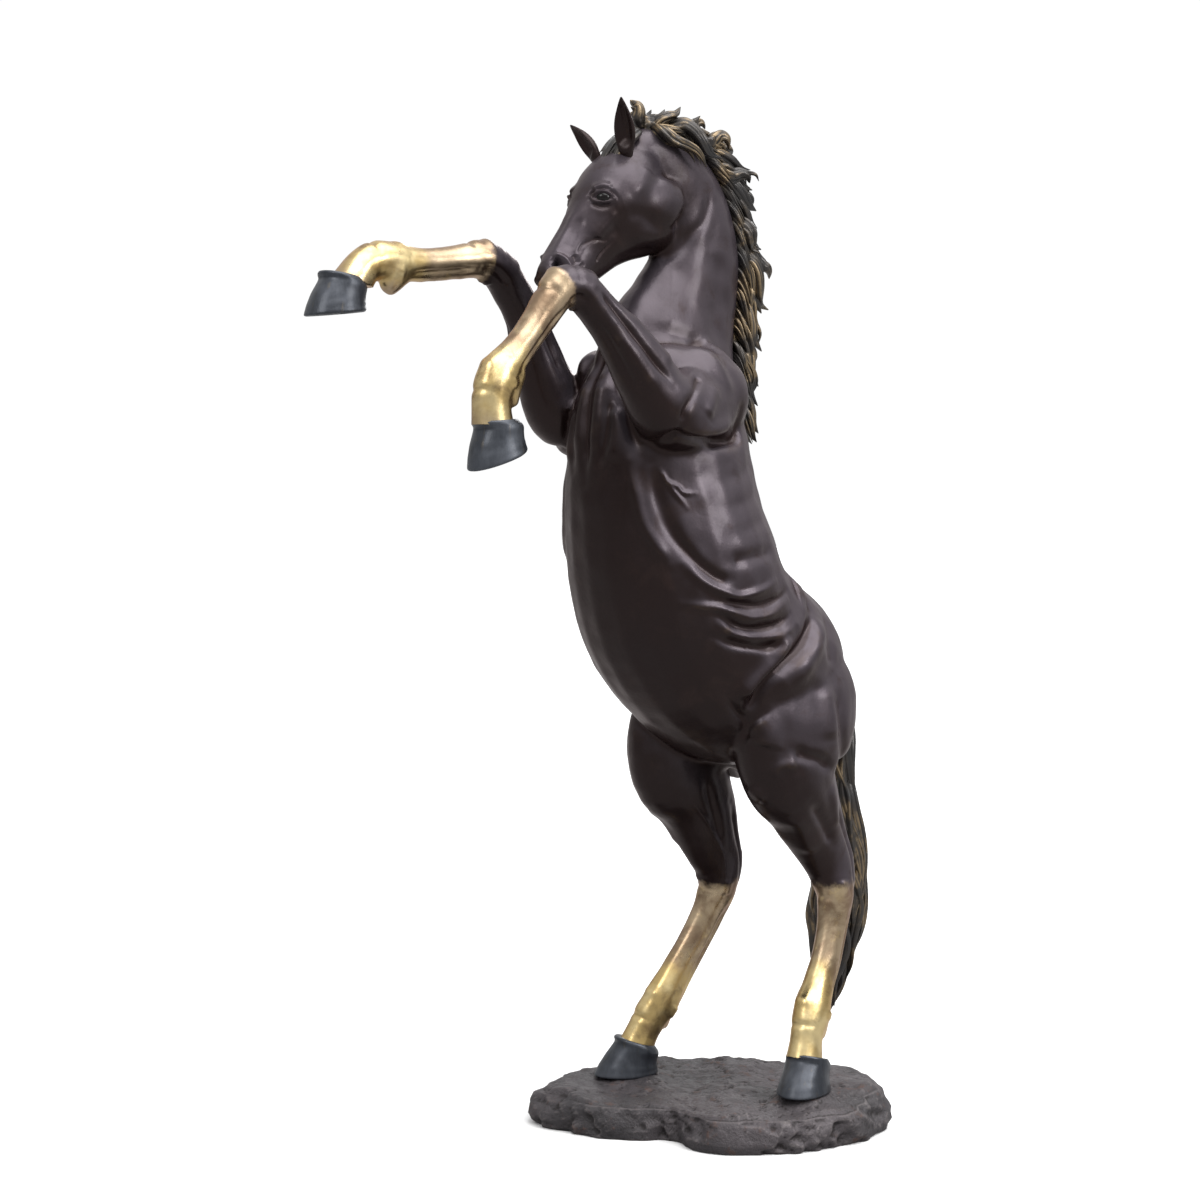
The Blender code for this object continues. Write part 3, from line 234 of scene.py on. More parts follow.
# Sculpted strokes on the left side of torso, neck and head, mirrored to the right, each
# (kind, width, height, points), in millimetres.
STROKES = metres([
    # Flank folds
    ("groove", 11, 7, [(181, -284, 1362), (203, -251, 1314), (221, -209, 1279), (230, -174, 1272)]),
    ("ridge", 10, 7, [(189, -274, 1306), (210, -235, 1267), (227, -183, 1242), (233, -144, 1235),
     (236, -87, 1244), (224, -32, 1262)]),
    ("groove", 9, 8, [(220, -197, 1227), (231, -154, 1220), (236, -104, 1212), (233, -50, 1223),
     (210, 16, 1241)]),
    ("ridge", 10, 7, [(181, -272, 1220), (202, -239, 1213), (217, -200, 1212), (228, -157, 1198),
     (233, -111, 1186), (235, -52, 1195), (219, 8, 1221)]),
    ("groove", 8, 8, [(215, -198, 1193), (224, -153, 1171), (231, -108, 1161), (236, -43, 1168),
     (227, 12, 1190)]),
    ("ridge", 9, 6, [(213, -196, 1176), (222, -151, 1151), (231, -93, 1141), (235, -30, 1147),
     (226, 28, 1169)]),
    ("groove", 9, 7, [(204, -203, 1149), (220, -137, 1125), (230, -79, 1119), (235, -17, 1125)]),
    ("groove", 16, 6, [(228, -178, 1311), (233, -118, 1317), (207, -25, 1330)]),
    ("groove", 17, 21, [(194, 105, 1192), (219, 81, 1154), (231, 49, 1122), (233, 6, 1089), (225, -41, 1055),
     (211, -61, 1026), (194, -72, 993), (177, -74, 965)]),
    ("ridge", 19, 15, [(205, -10, 1150), (218, -15, 1118), (227, -43, 1075), (206, -90, 1034),
     (188, -105, 998)]),
    ("ridge", 26, 10, [(200, 150, 1180), (226, 105, 1120), (234, 60, 1075), (228, 10, 1030)]),
    # Haunch and stifle
    ("ridge", 30, 12, [(186, -50, 960), (200, -35, 925), (190, -35, 890)]),
    ("groove", 12, 7, [(177, -135, 1011), (170, -104, 973), (165, -65, 939), (146, -59, 897)]),
    ("ridge", 13, 6, [(195, -16, 824), (212, -5, 850), (230, 33, 855)]),
    ("groove", 14, 10, [(225, 20, 885), (237, 54, 872), (240, 92, 860), (226, 149, 829)]),
    ("groove", 20, 8, [(205, 165, 1020), (222, 170, 940), (215, 185, 870), (190, 205, 800)]),
    ("ridge", 30, 8, [(225, 130, 1030), (235, 130, 960), (230, 130, 900)]),
    ("ridge", 45, 10, [(165, 105, 1235), (180, 70, 1250)]),
    ("groove", 22, 7, [(140, 190, 1190), (185, 170, 1120), (205, 150, 1060)]),
    ("groove", 20, 8, [(0, 300, 1120), (0, 235, 1205), (0, 180, 1290)]),
    # Belly, ribs and veins
    ("ridge", 14, 8, [(108, -354, 1524), (119, -349, 1451), (133, -339, 1392), (155, -318, 1342),
     (170, -300, 1306)]),
    ("groove", 16, 8, [(140, -325, 1520), (152, -318, 1451), (165, -305, 1400), (182, -283, 1350),
     (205, -250, 1300)]),
    ("ridge", 5, 4, [(154, -306, 1481), (165, -290, 1479), (173, -277, 1469), (179, -265, 1458),
     (189, -240, 1458)]),
    ("ridge", 5, 4, [(151, -306, 1507), (157, -300, 1490), (167, -289, 1464), (186, -262, 1425)]),
    ("groove", 16, 2.5, [(150, 10, 1500), (190, -60, 1450), (205, -180, 1420)]),
    ("groove", 16, 2.5, [(155, 30, 1440), (200, -50, 1395), (217, -170, 1365)]),
    ("groove", 16, 2.5, [(140, 0, 1560), (175, -70, 1510), (190, -180, 1480)]),
    # Shoulder and chest
    ("groove", 14, 21, [(150, -335, 1560), (190, -325, 1574), (210, -309, 1581), (206, -243, 1569),
     (181, -161, 1571), (161, -92, 1583), (165, -85, 1640)]),
    ("ridge", 20, 13, [(200, -325, 1612), (208, -270, 1600), (196, -200, 1600), (180, -130, 1610)]),
    ("groove", 10, 8, [(205, -235, 1715), (211, -257, 1694), (238, -310, 1639), (228, -316, 1601)]),
    ("ridge", 18, 7, [(200, -190, 1690), (212, -225, 1650), (212, -250, 1620)]),
    ("groove", 20, 4, [(72, -269, 1812), (91, -221, 1806), (110, -168, 1792), (160, -150, 1764),
     (178, -122, 1715), (177, -94, 1662)]),
    ("ridge", 22, 4, [(120, -215, 1780), (155, -180, 1762), (180, -150, 1715), (186, -135, 1660)]),
    ("groove", 12, 6, [(46, -389, 1507), (57, -379, 1593), (53, -367, 1669)]),
    ("groove", 14, 10, [(0, -400, 1480), (0, -395, 1600), (0, -370, 1720), (0, -330, 1800)]),
    ("groove", 15, 7, [(121, -340, 1539), (97, -353, 1614), (62, -360, 1691), (40, -349, 1736)]),
    ("ridge", 22, 7, [(75, -385, 1520), (82, -375, 1590), (70, -370, 1650)]),
    ("ridge", 20, 6, [(26, -395, 1540), (28, -388, 1640), (24, -370, 1710)]),
    # Neck
    ("groove", 22.5, 3.15, [(55, -235, 1965), (80, -255, 1880), (92, -285, 1800), (85, -330, 1740)]),
    ("ridge", 27.5, 2.7, [(45, -235, 1935), (55, -300, 1850), (55, -345, 1780)]),
    ("groove", 20, 2.7, [(60, -80, 2130), (66, -72, 2060), (70, -90, 1990)]),
    ("ridge", 25, 2.25, [(75, -110, 2010), (85, -130, 1930), (100, -150, 1850)]),
    ("groove", 25, 2.25, [(70, -55, 2010), (78, -60, 1930), (90, -80, 1850), (110, -90, 1780)]),
    ("ridge", 3.75, 0.9, [(66, -190, 1960), (85, -205, 1890), (98, -220, 1830)]),
    # Jaw and throat
    ("groove", 13.5, 4.8, [(40, -330, 1965), (50, -255, 1972), (48, -190, 1985), (48, -140, 2020),
     (56, -105, 2060), (60, -85, 2110), (60, -90, 2160)]),
    ("groove", 16.2, 3, [(74, -341, 2050), (78, -303, 2058), (74, -249, 2045), (62, -198, 2047)]),
    ("ridge", 18.9, 3.6, [(68, -330, 2020), (66, -270, 2012), (60, -210, 2022), (56, -160, 2050)]),
])

# Finer strokes on the head only.
HEAD_STROKES = metres([
    # Brow, lids and hollow above the eye
    ("ridge", 12, 8, [(33, -402, 2105), (48, -388, 2114), (65, -367, 2108)]),
    ("groove", 4.5, 6, [(30, -410, 2093), (39, -399, 2103), (51, -388, 2109), (64, -374, 2102),
     (70, -362, 2090)]),
    ("ridge", 5, 8.5, [(35, -404, 2091), (43, -396, 2099), (52, -387, 2102), (62, -375, 2098),
     (67, -367, 2089)]),
    ("ridge", 4, 3.5, [(35, -404, 2090), (43, -399, 2082), (54, -391, 2079), (64, -377, 2082),
     (68, -367, 2088)]),
    ("groove", 6, 4, [(38, -407, 2079), (48, -399, 2073), (59, -388, 2071), (69, -372, 2076)]),
    ("ridge", 14, 4, [(75, -360, 2062), (66, -388, 2030), (54, -412, 2000)]),
    ("groove", 14, 3, [(68, -350, 2030), (58, -385, 1995)]),
    ("groove", 12, 4, [(40, -428, 2055), (37, -452, 2010), (34, -472, 1970)]),
    ("ridge", 10, 3, [(18, -438, 2080), (18, -472, 2010), (18, -500, 1955)]),
    # Nostril
    ("ridge", 7, 7, [(22, -508, 1962), (36, -494, 1966), (44, -478, 1954), (42, -470, 1934), (34, -476, 1922)]),
    ("groove", 9.5, 22, [(26, -502, 1954), (31, -495, 1946), (31, -489, 1934)]),
    ("groove", 8, 4, [(50, -462, 1968), (50, -452, 1944)]),
    # Lips and muzzle
    ("groove", 4.5, 8, [(0, -506, 1896), (20, -498, 1898), (36, -478, 1905), (46, -454, 1925),
     (49, -438, 1945)]),
    ("ridge", 8, 4, [(0, -512, 1910), (22, -503, 1912), (40, -480, 1922)]),
    ("ridge", 9, 4, [(0, -488, 1882), (20, -480, 1884), (36, -460, 1896)]),
    ("groove", 5, 3, [(43, -449, 1960), (44, -435, 1986), (51, -406, 1999), (54, -378, 1998)]),
    ("groove", 4, 3, [(47, -400, 1950), (50, -389, 1968), (56, -362, 1999)]),
    # Cheek bone and temple
    ("ridge", 18, 4, [(78, -330, 2092), (72, -290, 2130), (66, -270, 2160)]),
])

# Strokes on the legs, each (kind, width, height, repeated on the inner side, [(place along the rings, angle)]),
# in metres and degrees, where 0 degrees is the outer side, 90 the front and -90 the rear.
HIND_STROKES = [
    ("groove", 0.013, 0.009, True, [(5.6, -30), (6.6, -38), (7.6, -44), (8.4, -48), (8.9, -50)]),
    ("ridge", 0.014, 0.008, False, [(7.7, -90), (8.3, -90), (9.0, -90)]),
    ("ridge", 0.014, 0.005, True, [(8.5, 5), (9.2, 5)]),
    ("groove", 0.009, 0.003, False, [(9.1, 30), (9.2, 90), (9.1, 150)]),
    ("ridge", 0.012, 0.004, False, [(8.4, 60), (8.6, 90), (8.4, 120)]),
    ("groove", 0.008, 0.007, True, [(9.6, -35), (10.6, -35), (11.8, -38), (12.7, -42)]),
    ("ridge", 0.009, 0.004, False, [(9.6, -90), (11.0, -90), (12.6, -90)]),
    ("ridge", 0.014, 0.005, True, [(13.0, -35), (13.6, -40)]),
    ("ridge", 0.012, 0.003, False, [(13.0, 50), (13.1, 90), (13.0, 130)]),
    ("groove", 0.007, 0.004, False, [(14.3, 20), (14.4, 90), (14.3, 160)]),
    ("ridge", 0.022, 0.009, False, [(4.4, 50), (5.4, 52), (6.6, 58)]),
    ("groove", 0.014, 0.008, False, [(4.4, 18), (5.6, 14), (6.8, 8)]),
    ("ridge", 0.018, 0.006, False, [(4.4, -20), (5.4, -18), (6.4, -15)]),
    ("groove", 0.014, 0.006, False, [(4.0, 175), (5.4, 172), (6.8, 170)]),
    ("ridge", 0.004, 0.003, False, [(4.6, 150), (6.0, 158), (7.6, 165), (9.4, 170)]),
]
FORE_STROKES = [
    ("ridge", 0.018, 0.008, False, [(4.0, 45), (5.0, 48), (6.4, 55)]),
    ("groove", 0.010, 0.008, False, [(3.6, 10), (5.0, 8), (6.6, 12), (7.4, 15)]),
    ("ridge", 0.014, 0.005, False, [(3.8, -25), (5.0, -28), (6.2, -30)]),
    ("groove", 0.011, 0.006, False, [(4.2, 172), (5.4, 172), (7.0, 170)]),
    ("groove", 0.009, 0.005, False, [(4.2, -62), (5.4, -60), (6.8, -55)]),
    ("ridge", 0.004, 0.003, False, [(3.8, 135), (5.4, 145), (7.2, 150)]),
    ("ridge", 0.010, 0.005, False, [(7.6, 20), (7.7, 90), (7.6, 160)]),
    ("groove", 0.006, 0.004, False, [(8.2, 15), (8.3, 90), (8.2, 165)]),
    ("ridge", 0.010, 0.005, False, [(8.8, 20), (8.9, 90), (8.8, 160)]),
    ("groove", 0.008, 0.004, False, [(9.5, 30), (9.6, 90), (9.5, 150)]),
    ("ridge", 0.012, 0.008, False, [(7.9, -90), (8.5, -90), (8.9, -90)]),
    ("groove", 0.009, 0.006, True, [(7.4, -35), (8.4, -38), (9.4, -38)]),
    ("groove", 0.008, 0.006, True, [(9.6, -35), (10.8, -35), (12.0, -38), (12.8, -42)]),
    ("ridge", 0.009, 0.004, False, [(9.6, -90), (11.0, -90), (12.6, -90)]),
    ("ridge", 0.013, 0.005, True, [(13.0, -35), (13.6, -40)]),
    ("ridge", 0.012, 0.003, False, [(13.0, 50), (13.1, 90), (13.0, 130)]),
    ("groove", 0.007, 0.004, False, [(14.2, 20), (14.3, 90), (14.2, 160)]),
]


# ---- Forms -------------------------------------------------------------------------------------------------

def through(rings, steps):
    """Rows on the Catmull-Rom curve through the rings."""
    rows = np.array(rings, float)
    padded = np.vstack([2 * rows[0] - rows[1], rows, 2 * rows[-1] - rows[-2]])
    made = []
    for a, b, c, d in zip(padded, padded[1:], padded[2:], padded[3:]):
        for t in np.arange(steps) / steps:
            made.append(b + 0.5 * t * ((c - a) + t * (2 * a - 5 * b + 4 * c - d + t * (3 * b - a - 3 * c + d))))
    made.append(rows[-1])
    return np.array(made)


def bridge(bm, loops, caps=True):
    """Walls between neighbouring closed loops, and a fan over each end."""
    for one, two in zip(loops, loops[1:]):
        for k in range(len(one)):
            following = (k + 1) % len(one)
            bm.faces.new((one[k], one[following], two[following], two[k]))
    if caps:
        for loop in (loops[0], loops[-1]):
            middle = bm.verts.new(sum((v.co for v in loop), Vector()) / len(loop))
            for k in range(len(loop)):
                bm.faces.new((loop[k], loop[(k + 1) % len(loop)], middle))


def circle(sides):
    return [2 * math.pi * k / sides for k in range(sides)]


def face_out(bm):
    bmesh.ops.recalc_face_normals(bm, faces=bm.faces)
    if bm.calc_volume(signed=True) < 0:
        bmesh.ops.reverse_faces(bm, faces=bm.faces)


def ring_frames(rings, steps, lateral=(1, 0, 0)):
    """(row, direction across, direction outward) at each step along the rings."""
    rows = through(rings, steps)
    made = []
    for row, tangent in zip(rows, np.gradient(rows[:, :3], axis=0)):
        along = Vector(tangent).normalized()
        across = Vector(lateral)
        across = (across - across.dot(along) * along).normalized()
        made.append((row, across, along.cross(across)))
    return made


def loft_into(bm, rings, steps=4, sides=24, shape=None, lateral=(1, 0, 0)):
    """Adds a closed tube through the rings. shape(share along, angle) scales the radius."""
    loops = []
    frames = ring_frames(rings, steps, lateral)
    for i, (row, across, outward) in enumerate(frames):
        loop = []
        for angle in circle(sides):
            depth = row[4] if math.sin(angle) > 0 else row[5]
            scale = shape(i / (len(frames) - 1), angle) if shape else 1.0
            offset = across * row[3] * math.cos(angle) + outward * depth * math.sin(angle)
            loop.append(bm.verts.new(Vector(row[:3]) + scale * offset))
        loops.append(loop)
    bridge(bm, loops)


def mirrored(rings):
    return [(-x, *rest) for x, *rest in rings]


def on_form(rings, places):
    """Points on a loft at (place along the rings, angle in degrees)."""
    frames = ring_frames(rings, 8)
    made = []
    for place, angle in places:
        row, across, outward = frames[min(int(round(place * 8)), len(frames) - 1)]
        turn = math.radians(angle)
        depth = row[4] if math.sin(turn) > 0 else row[5]
        made.append(Vector(row[:3]) + across * row[3] * math.cos(turn) + outward * depth * math.sin(turn))
    return made


def linked(name, mesh):
    obj = bpy.data.objects.new(name, mesh)
    bpy.context.scene.collection.objects.link(obj)
    return obj


def from_bmesh(bm, name):
    mesh = bpy.data.meshes.new(name)
    bm.to_mesh(mesh)
    bm.free()
    return mesh


def smooth_piece(bm, node, suffix="", ridged=False):
    """A finished form as an object, its ridges marked if asked."""
    face_out(bm)
    if ridged:
        mark_tips(bm)
    obj = linked(node.replace("_", "-") + suffix, from_bmesh(bm, node))
    obj.data.shade_smooth()
    return obj


# ---- The sculpted surface ----------------------------------------------------------------------------------

class Surface:
    """Points, faces and point normals as arrays, with strokes to sculpt them."""

    def __init__(self, points, quads, normals=None, marks=()):
        self.points, self.quads = points, quads
        self.marks = dict(marks)
        self.normals = self.smooth_normals() if normals is None else normals

    def smooth_normals(self):
        p, q = self.points, self.quads
        face = np.cross(p[q[:, 2]] - p[q[:, 0]], p[q[:, 3]] - p[q[:, 1]])
        total = np.zeros_like(p)
        for axis in range(3):
            for corner in range(4):
                total[:, axis] += np.bincount(q[:, corner], weights=face[:, axis], minlength=len(p))
        return total / np.maximum(np.linalg.norm(total, axis=1, keepdims=True), 1e-12)

    def sides(self):
        """The two ends of every face's sides, so that a shared side is there twice."""
        q = self.quads
        return np.sort(np.concatenate([q[:, [0, 1]], q[:, [1, 2]], q[:, [2, 3]], q[:, [3, 0]]]), axis=1)

    def edges(self):
        return np.unique(self.sides(), axis=0)

    def averaged(self, values, edges, rounds=1):
        """Each point's value replaced by the mean of its neighbours, that many times."""
        count = np.bincount(edges.ravel(), minlength=len(self.points))
        for _ in range(rounds):
            total = (np.bincount(edges[:, 0], weights=values[edges[:, 1]], minlength=len(values))
                     + np.bincount(edges[:, 1], weights=values[edges[:, 0]], minlength=len(values)))
            values = total / np.maximum(count, 1)
        return values

    def roundness(self):
        """How much each point stands out of its surroundings, from about -1 in a crease to 1 on a ridge."""
        edges = self.edges()
        mean = np.stack([self.averaged(self.points[:, i], edges, 3) for i in range(3)], axis=1)
        out = np.einsum("ij,ij->i", self.normals, self.points - mean)
        out = self.averaged(out, edges, 4)
        return np.clip(out / (2.5 * np.std(out) + 1e-9), -1, 1)

    def snapped(self, points):
        """Each point moved to the nearest place on the surface, if one is near."""
        made = []
        for p in np.array([tuple(p) for p in points]):
            near = self.points[(abs(self.points - p) < 0.045).all(axis=1)]
            if len(near):
                p = near[np.argmin(np.linalg.norm(near - p, axis=1))]
            made.append(p)
        return made

    def stroke(self, kind, width, height, points):
        """Raises or sinks the surface along a line through points that lie near it."""
        line = through(self.snapped(points), 8)
        low, high = line.min(axis=0) - 3 * width, line.max(axis=0) + 3 * width
        near = np.nonzero(((self.points > low) & (self.points < high)).all(axis=1))[0]
        if not len(near):
            return
        at = self.points[near]
        best = np.full(len(near), 1e9)
        share = np.zeros(len(near))
        for i, (a, b) in enumerate(zip(line, line[1:])):
            along = b - a
            t = np.clip(((at - a) @ along) / max(along @ along, 1e-12), 0, 1)
            gap = at - (a + t[:, None] * along)
            distance = np.linalg.norm(gap, axis=1)
            closer = distance < best
            best[closer] = distance[closer]
            share[closer] = ((i + t) / (len(line) - 1))[closer]
        nearest = [int(near[np.argmin(np.linalg.norm(at - p, axis=1))]) for p in line[::4]]
        last = len(nearest) - 1
        facing = self.normals[nearest][np.clip((share * last).round().astype(int), 0, last)]
        same_side = np.clip(np.einsum("ij,ij->i", self.normals[near], facing) * 2.0, 0, 1)
        fade = np.clip(np.minimum(share, 1 - share) / 0.22, 0, 1)
        fade = 0.25 + 0.75 * fade * fade * (3 - 2 * fade)
        amount = height * np.exp(-(best / width) ** 2) * fade * same_side
        self.points[near] += self.normals[near] * (amount if kind == "ridge" else -amount)[:, None]

    def strokes(self, rows, mirror=True):
        for kind, width, height, points in rows:
            self.stroke(kind, width, height, points)
            if mirror and max(abs(p[0]) for p in points) > 0.001:
                self.stroke(kind, width, height, [(-x, y, z) for x, y, z in points])
        self.normals = self.smooth_normals()

    def ripple(self, height, size, seed):
        """Low unevenness, as of hand-worked wax."""
        offset = Vector((seed, seed * 2.0, seed * 3.0))
        amount = np.array([noise.noise(Vector(p) / size + offset) for p in self.points])
        self.points += self.normals * (height * amount)[:, None]

    def part(self, chosen):
        """The chosen faces as a surface of their own, with the normals and marks they have here."""
        used, index = np.unique(self.quads[chosen], return_inverse=True)
        return Surface(self.points[used].copy(), index.reshape(-1, 4), self.normals[used].copy(),
                       {name: values[used] for name, values in self.marks.items()})

    def refined(self):
        """Each face divided in four."""
        edges = self.edges()
        count = len(self.points)
        keys = edges[:, 0] * count + edges[:, 1]
        q = self.quads

        def middle(a, b):
            low, high = np.minimum(q[:, a], q[:, b]), np.maximum(q[:, a], q[:, b])
            return count + np.searchsorted(keys, low * count + high)

        centre = count + len(edges) + np.arange(len(q))
        m = [middle(0, 1), middle(1, 2), middle(2, 3), middle(3, 0)]

        def spread(values):
            return np.concatenate([values, values[edges].mean(axis=1), values[q].mean(axis=1)])

        normals = spread(self.normals)
        normals /= np.linalg.norm(normals, axis=1, keepdims=True)
        quads = np.concatenate([np.stack([q[:, k], m[k], centre, m[k - 1]], axis=1) for k in range(4)])
        return Surface(spread(self.points), quads, normals,
                       {name: spread(values) for name, values in self.marks.items()})

    def border(self):
        """The points on the edges of the surface's cuts."""
        unique, count = np.unique(self.sides(), axis=0, return_counts=True)
        return np.unique(unique[count == 1])

    def object(self, name):
        """The surface as an object, closed over each cut, with its normals kept across the cuts."""
        mesh = bpy.data.meshes.new(name)
        mesh.from_pydata(self.points.tolist(), [], self.quads.tolist())
        for mark, values in self.marks.items():
            mesh.attributes.new(mark, "FLOAT", "POINT").data.foreach_set("value", values.astype(np.float32))
        bm = bmesh.new()
        bm.from_mesh(mesh)
        bmesh.ops.holes_fill(bm, edges=[e for e in bm.edges if e.is_boundary], sides=0)
        bm.to_mesh(mesh)
        bm.free()
        mesh.shade_smooth()
        mesh.normals_split_custom_set_from_vertices([tuple(n) for n in self.normals])
        return linked(name, mesh)


def remeshed(name, bm, voxel, smoothing):
    """One closed surface round overlapping forms."""
    obj = linked(name, from_bmesh(bm, name))
    remesh = obj.modifiers.new("Remesh", "REMESH")
    remesh.mode = "VOXEL"
    remesh.voxel_size = voxel
    smooth = obj.modifiers.new("Smooth", "SMOOTH")
    smooth.factor = 0.5
    smooth.iterations = smoothing
    mesh = obj.evaluated_get(bpy.context.evaluated_depsgraph_get()).to_mesh()
    points = np.zeros(len(mesh.vertices) * 3)
    mesh.vertices.foreach_get("co", points)
    quads = np.zeros(len(mesh.loops), int)
    mesh.loops.foreach_get("vertex_index", quads)
    bpy.data.objects.remove(obj)
    return Surface(points.reshape(-1, 3), quads.reshape(-1, 4))


def leg_strokes(rings, rows, left):
    made = []
    for kind, width, height, both, places in rows:
        for inner in ((False, True) if both else (False,)):
            turned = [(place, 180 - a if inner != (not left) else a) for place, a in places]
            made.append((kind, width, height, on_form(rings, turned)))
    return made


def plane_frame(weld):
    point, normal, x_range, depth, breadth = (*weld, 0.9, 1.8)[:5]
    toward = Vector(normal).normalized()
    across = Vector((1, 0, 0))
    across = (across - across.dot(toward) * toward).normalized()
    third = toward.cross(across)
    start = Vector(point) - across * (point[0] / across.x)
    return start, toward, across, third, x_range, depth, breadth


def beyond(weld, points, offset=0.0):
    """Which points a weld's box holds."""
    start, toward, across, third, (low, high), depth, breadth = plane_frame(weld)
    gap = points - np.array(start)
    reach, side, level = gap @ np.array(toward), gap @ np.array(across), gap @ np.array(third)
    return ((reach > offset) & (reach < depth) & (side > low) & (side < high) & (abs(level) < breadth / 2))


def hoof_frame(name):
    sole, toe, up = (Vector(v) for v in HOOVES[name])
    toe = toe.normalized()
    up = (up - up.dot(toe) * toe).normalized()
    return sole, toe, up, up.cross(toe)


def coronet_weld(name):
    """The plane across the top of a hoof."""
    sole, toe, up, _ = hoof_frame(name)
    middle = (CORONET_FRONT + CORONET_BACK) / 2
    slope = (CORONET_FRONT - CORONET_BACK).normalized()
    left = name.endswith("left")
    side = ((0.003, LEG_SPAN) if left else (-LEG_SPAN, -0.003))
    if "fore" in name:
        side = (0.08, LEG_SPAN) if left else (-LEG_SPAN, -0.08)
    return sole + toe * middle.x + up * middle.y, toe * slope.y - up * slope.x, side, 0.16, 0.26


def onto_plane(surface, points, weld):
    """Slides points that lie near a weld plane along the surface onto it."""
    start, toward = plane_frame(weld)[:2]
    n = np.array(toward)
    off = (surface.points[points] - np.array(start)) @ n
    normals = surface.normals[points]
    slide = n - (normals @ n)[:, None] * normals
    size = np.einsum("ij,ij->i", slide, slide)
    good = (abs(off) < 1.5 * VOXEL) & (size > 0.35)
    surface.points[points[good]] -= slide[good] * (off[good] / size[good])[:, None]


def without_islands(quads, owner):
    """Gives each small patch that a weld plane cuts off inside a fold to the section round it."""
    sides = np.sort(np.stack([quads, np.roll(quads, -1, axis=1)], axis=2).reshape(-1, 2), axis=1)
    order = np.lexsort(sides.T)
    same = (sides[order][1:] == sides[order][:-1]).all(axis=1)
    a, b = order[:-1][same] // 4, order[1:][same] // 4
    inner = owner[a] == owner[b]
    label, before = np.arange(len(owner)), None
    while before is None or (label != before).any():
        before = label.copy()
        low = np.minimum(label[a[inner]], label[b[inner]])
        np.minimum.at(label, a[inner], low)
        np.minimum.at(label, b[inner], low)
        label = label[label]
    _, patch, count = np.unique(label, return_inverse=True, return_counts=True)
    for k in np.nonzero(count < 0.002 * len(owner))[0]:
        island = patch == k
        around = [*owner[b[island[a] & ~island[b]]], *owner[a[island[b] & ~island[a]]]]
        if around:
            owner[island] = max(sorted(set(around)), key=around.count)


def body():
    bm = bmesh.new()
    for rings in (TORSO, NECK, HEAD, HIND_RIGHT, HIND_LEFT, FORE_LEFT, FORE_RIGHT,
                  SHOULDER, mirrored(SHOULDER)):
        loft_into(bm, rings)
    for rings in (MASSETER, mirrored(MASSETER)):
        loft_into(bm, rings, sides=16)
    for rings in TUFTS:
        loft_into(bm, rings, steps=3, sides=12)
    surface = remeshed("body_form", bm, VOXEL, SMOOTHING)
    surface.strokes(STROKES)
    for rings, rows, left in ((HIND_LEFT, HIND_STROKES, True), (HIND_RIGHT, HIND_STROKES, False),
                              (FORE_LEFT, FORE_STROKES, True), (FORE_RIGHT, FORE_STROKES, False)):
        surface.strokes(leg_strokes(rings, rows, left), mirror=False)
    surface.ripple(0.0016, 0.05, 3.0)
    surface.normals = surface.smooth_normals()
    surface.marks["gold"] = gilding(surface.points)
    surface.marks["polish"] = polish(surface.points)
    # Painted light and shade: near 1 on surfaces that face LIT_SIDE, near 0 on those turned away from it.
    surface.marks["painted_light"] = smooth_step(-0.35, 0.75, surface.normals @ np.array(LIT_SIDE))

    centres = surface.points[surface.quads].mean(axis=1)
    owner = np.full(len(centres), "hindquarters", dtype=object)
    free = np.ones(len(centres), bool)
    for name in HOOVES:
        hidden = free & beyond(coronet_weld(name), centres, 0.006)
        owner[hidden] = ""
        free &= ~hidden
    for name, weld in WELDS.items():
        taken = free & beyond(weld, centres)
        owner[taken] = name
        free &= ~taken
    without_islands(surface.quads, owner)
    for name, weld in WELDS.items():
        both = np.intersect1d(surface.quads[owner == name], surface.quads[owner != name])
        onto_plane(surface, both, weld)
    surface.normals = surface.smooth_normals()
    surface.marks["ridge"] = surface.roundness()
    pieces = {}
    for name in [*WELDS, "hindquarters"]:
        piece = surface.part(owner == name)
        if name == "head":
            piece = with_head_detail(piece)
        pieces[name] = piece.object(name.replace("_", "-") + "-casting")
    return pieces


def with_head_detail(piece):
    """The head at twice the fineness, with its small features."""
    piece = piece.refined()
    edge = piece.border()
    kept = piece.normals[edge].copy()
    piece.strokes(HEAD_STROKES)
    piece.normals[edge] = kept
    piece.marks["ridge"] = np.clip(0.5 * piece.marks["ridge"] + 0.7 * piece.roundness(), -1, 1)
    return piece


def smooth_step(low, high, values):
    t = np.clip((values - low) / (high - low), 0, 1)
    return t * t * (3 - 2 * t)


def polish(points):
    """1 at the fetlocks and pasterns, which are buffed brightest, and less at the knees and hocks."""
    bright = np.zeros(len(points))
    for rings in (HIND_LEFT, HIND_RIGHT, FORE_LEFT, FORE_RIGHT):
        size = 1.0 if rings[-1][2] < 1.0 else 0.60
        for k, reach, most in ((13, 0.075, 1.0), (14, 0.075, 1.0), (15, 0.070, 1.0), (8, 0.050, 0.45)):
            gap = np.linalg.norm(points - np.array(rings[k][:3]), axis=1)
            near = smooth_step(2.1 * size * reach, 0.5 * size * reach, gap)
            bright = np.maximum(bright, near * most)
    return bright


def gilding(points):
    """1 where the bronze is polished gold, 0 where it is dark, from the ends of the legs up."""
    z, x = points[:, 2], points[:, 0]
    gold = np.where(x > 0, smooth_step(0.600, 0.500, z), smooth_step(0.575, 0.475, z)) * (points[:, 1] > -0.5)
    for name in ("lower_fore_leg_left", "lower_fore_leg_right"):
        start, toward, _, _, (low, high), _, _ = plane_frame(WELDS[name])
        reach = (points - np.array(start)) @ np.array(toward)
        fore = smooth_step(-0.035, 0.045, reach) * (x > low) * (x < high) * (points[:, 1] < -0.45)
        gold = np.maximum(gold, fore * (z > 1.4))
    return gold


# ---- Hair ---------------------------------------------------------------------------------------------------

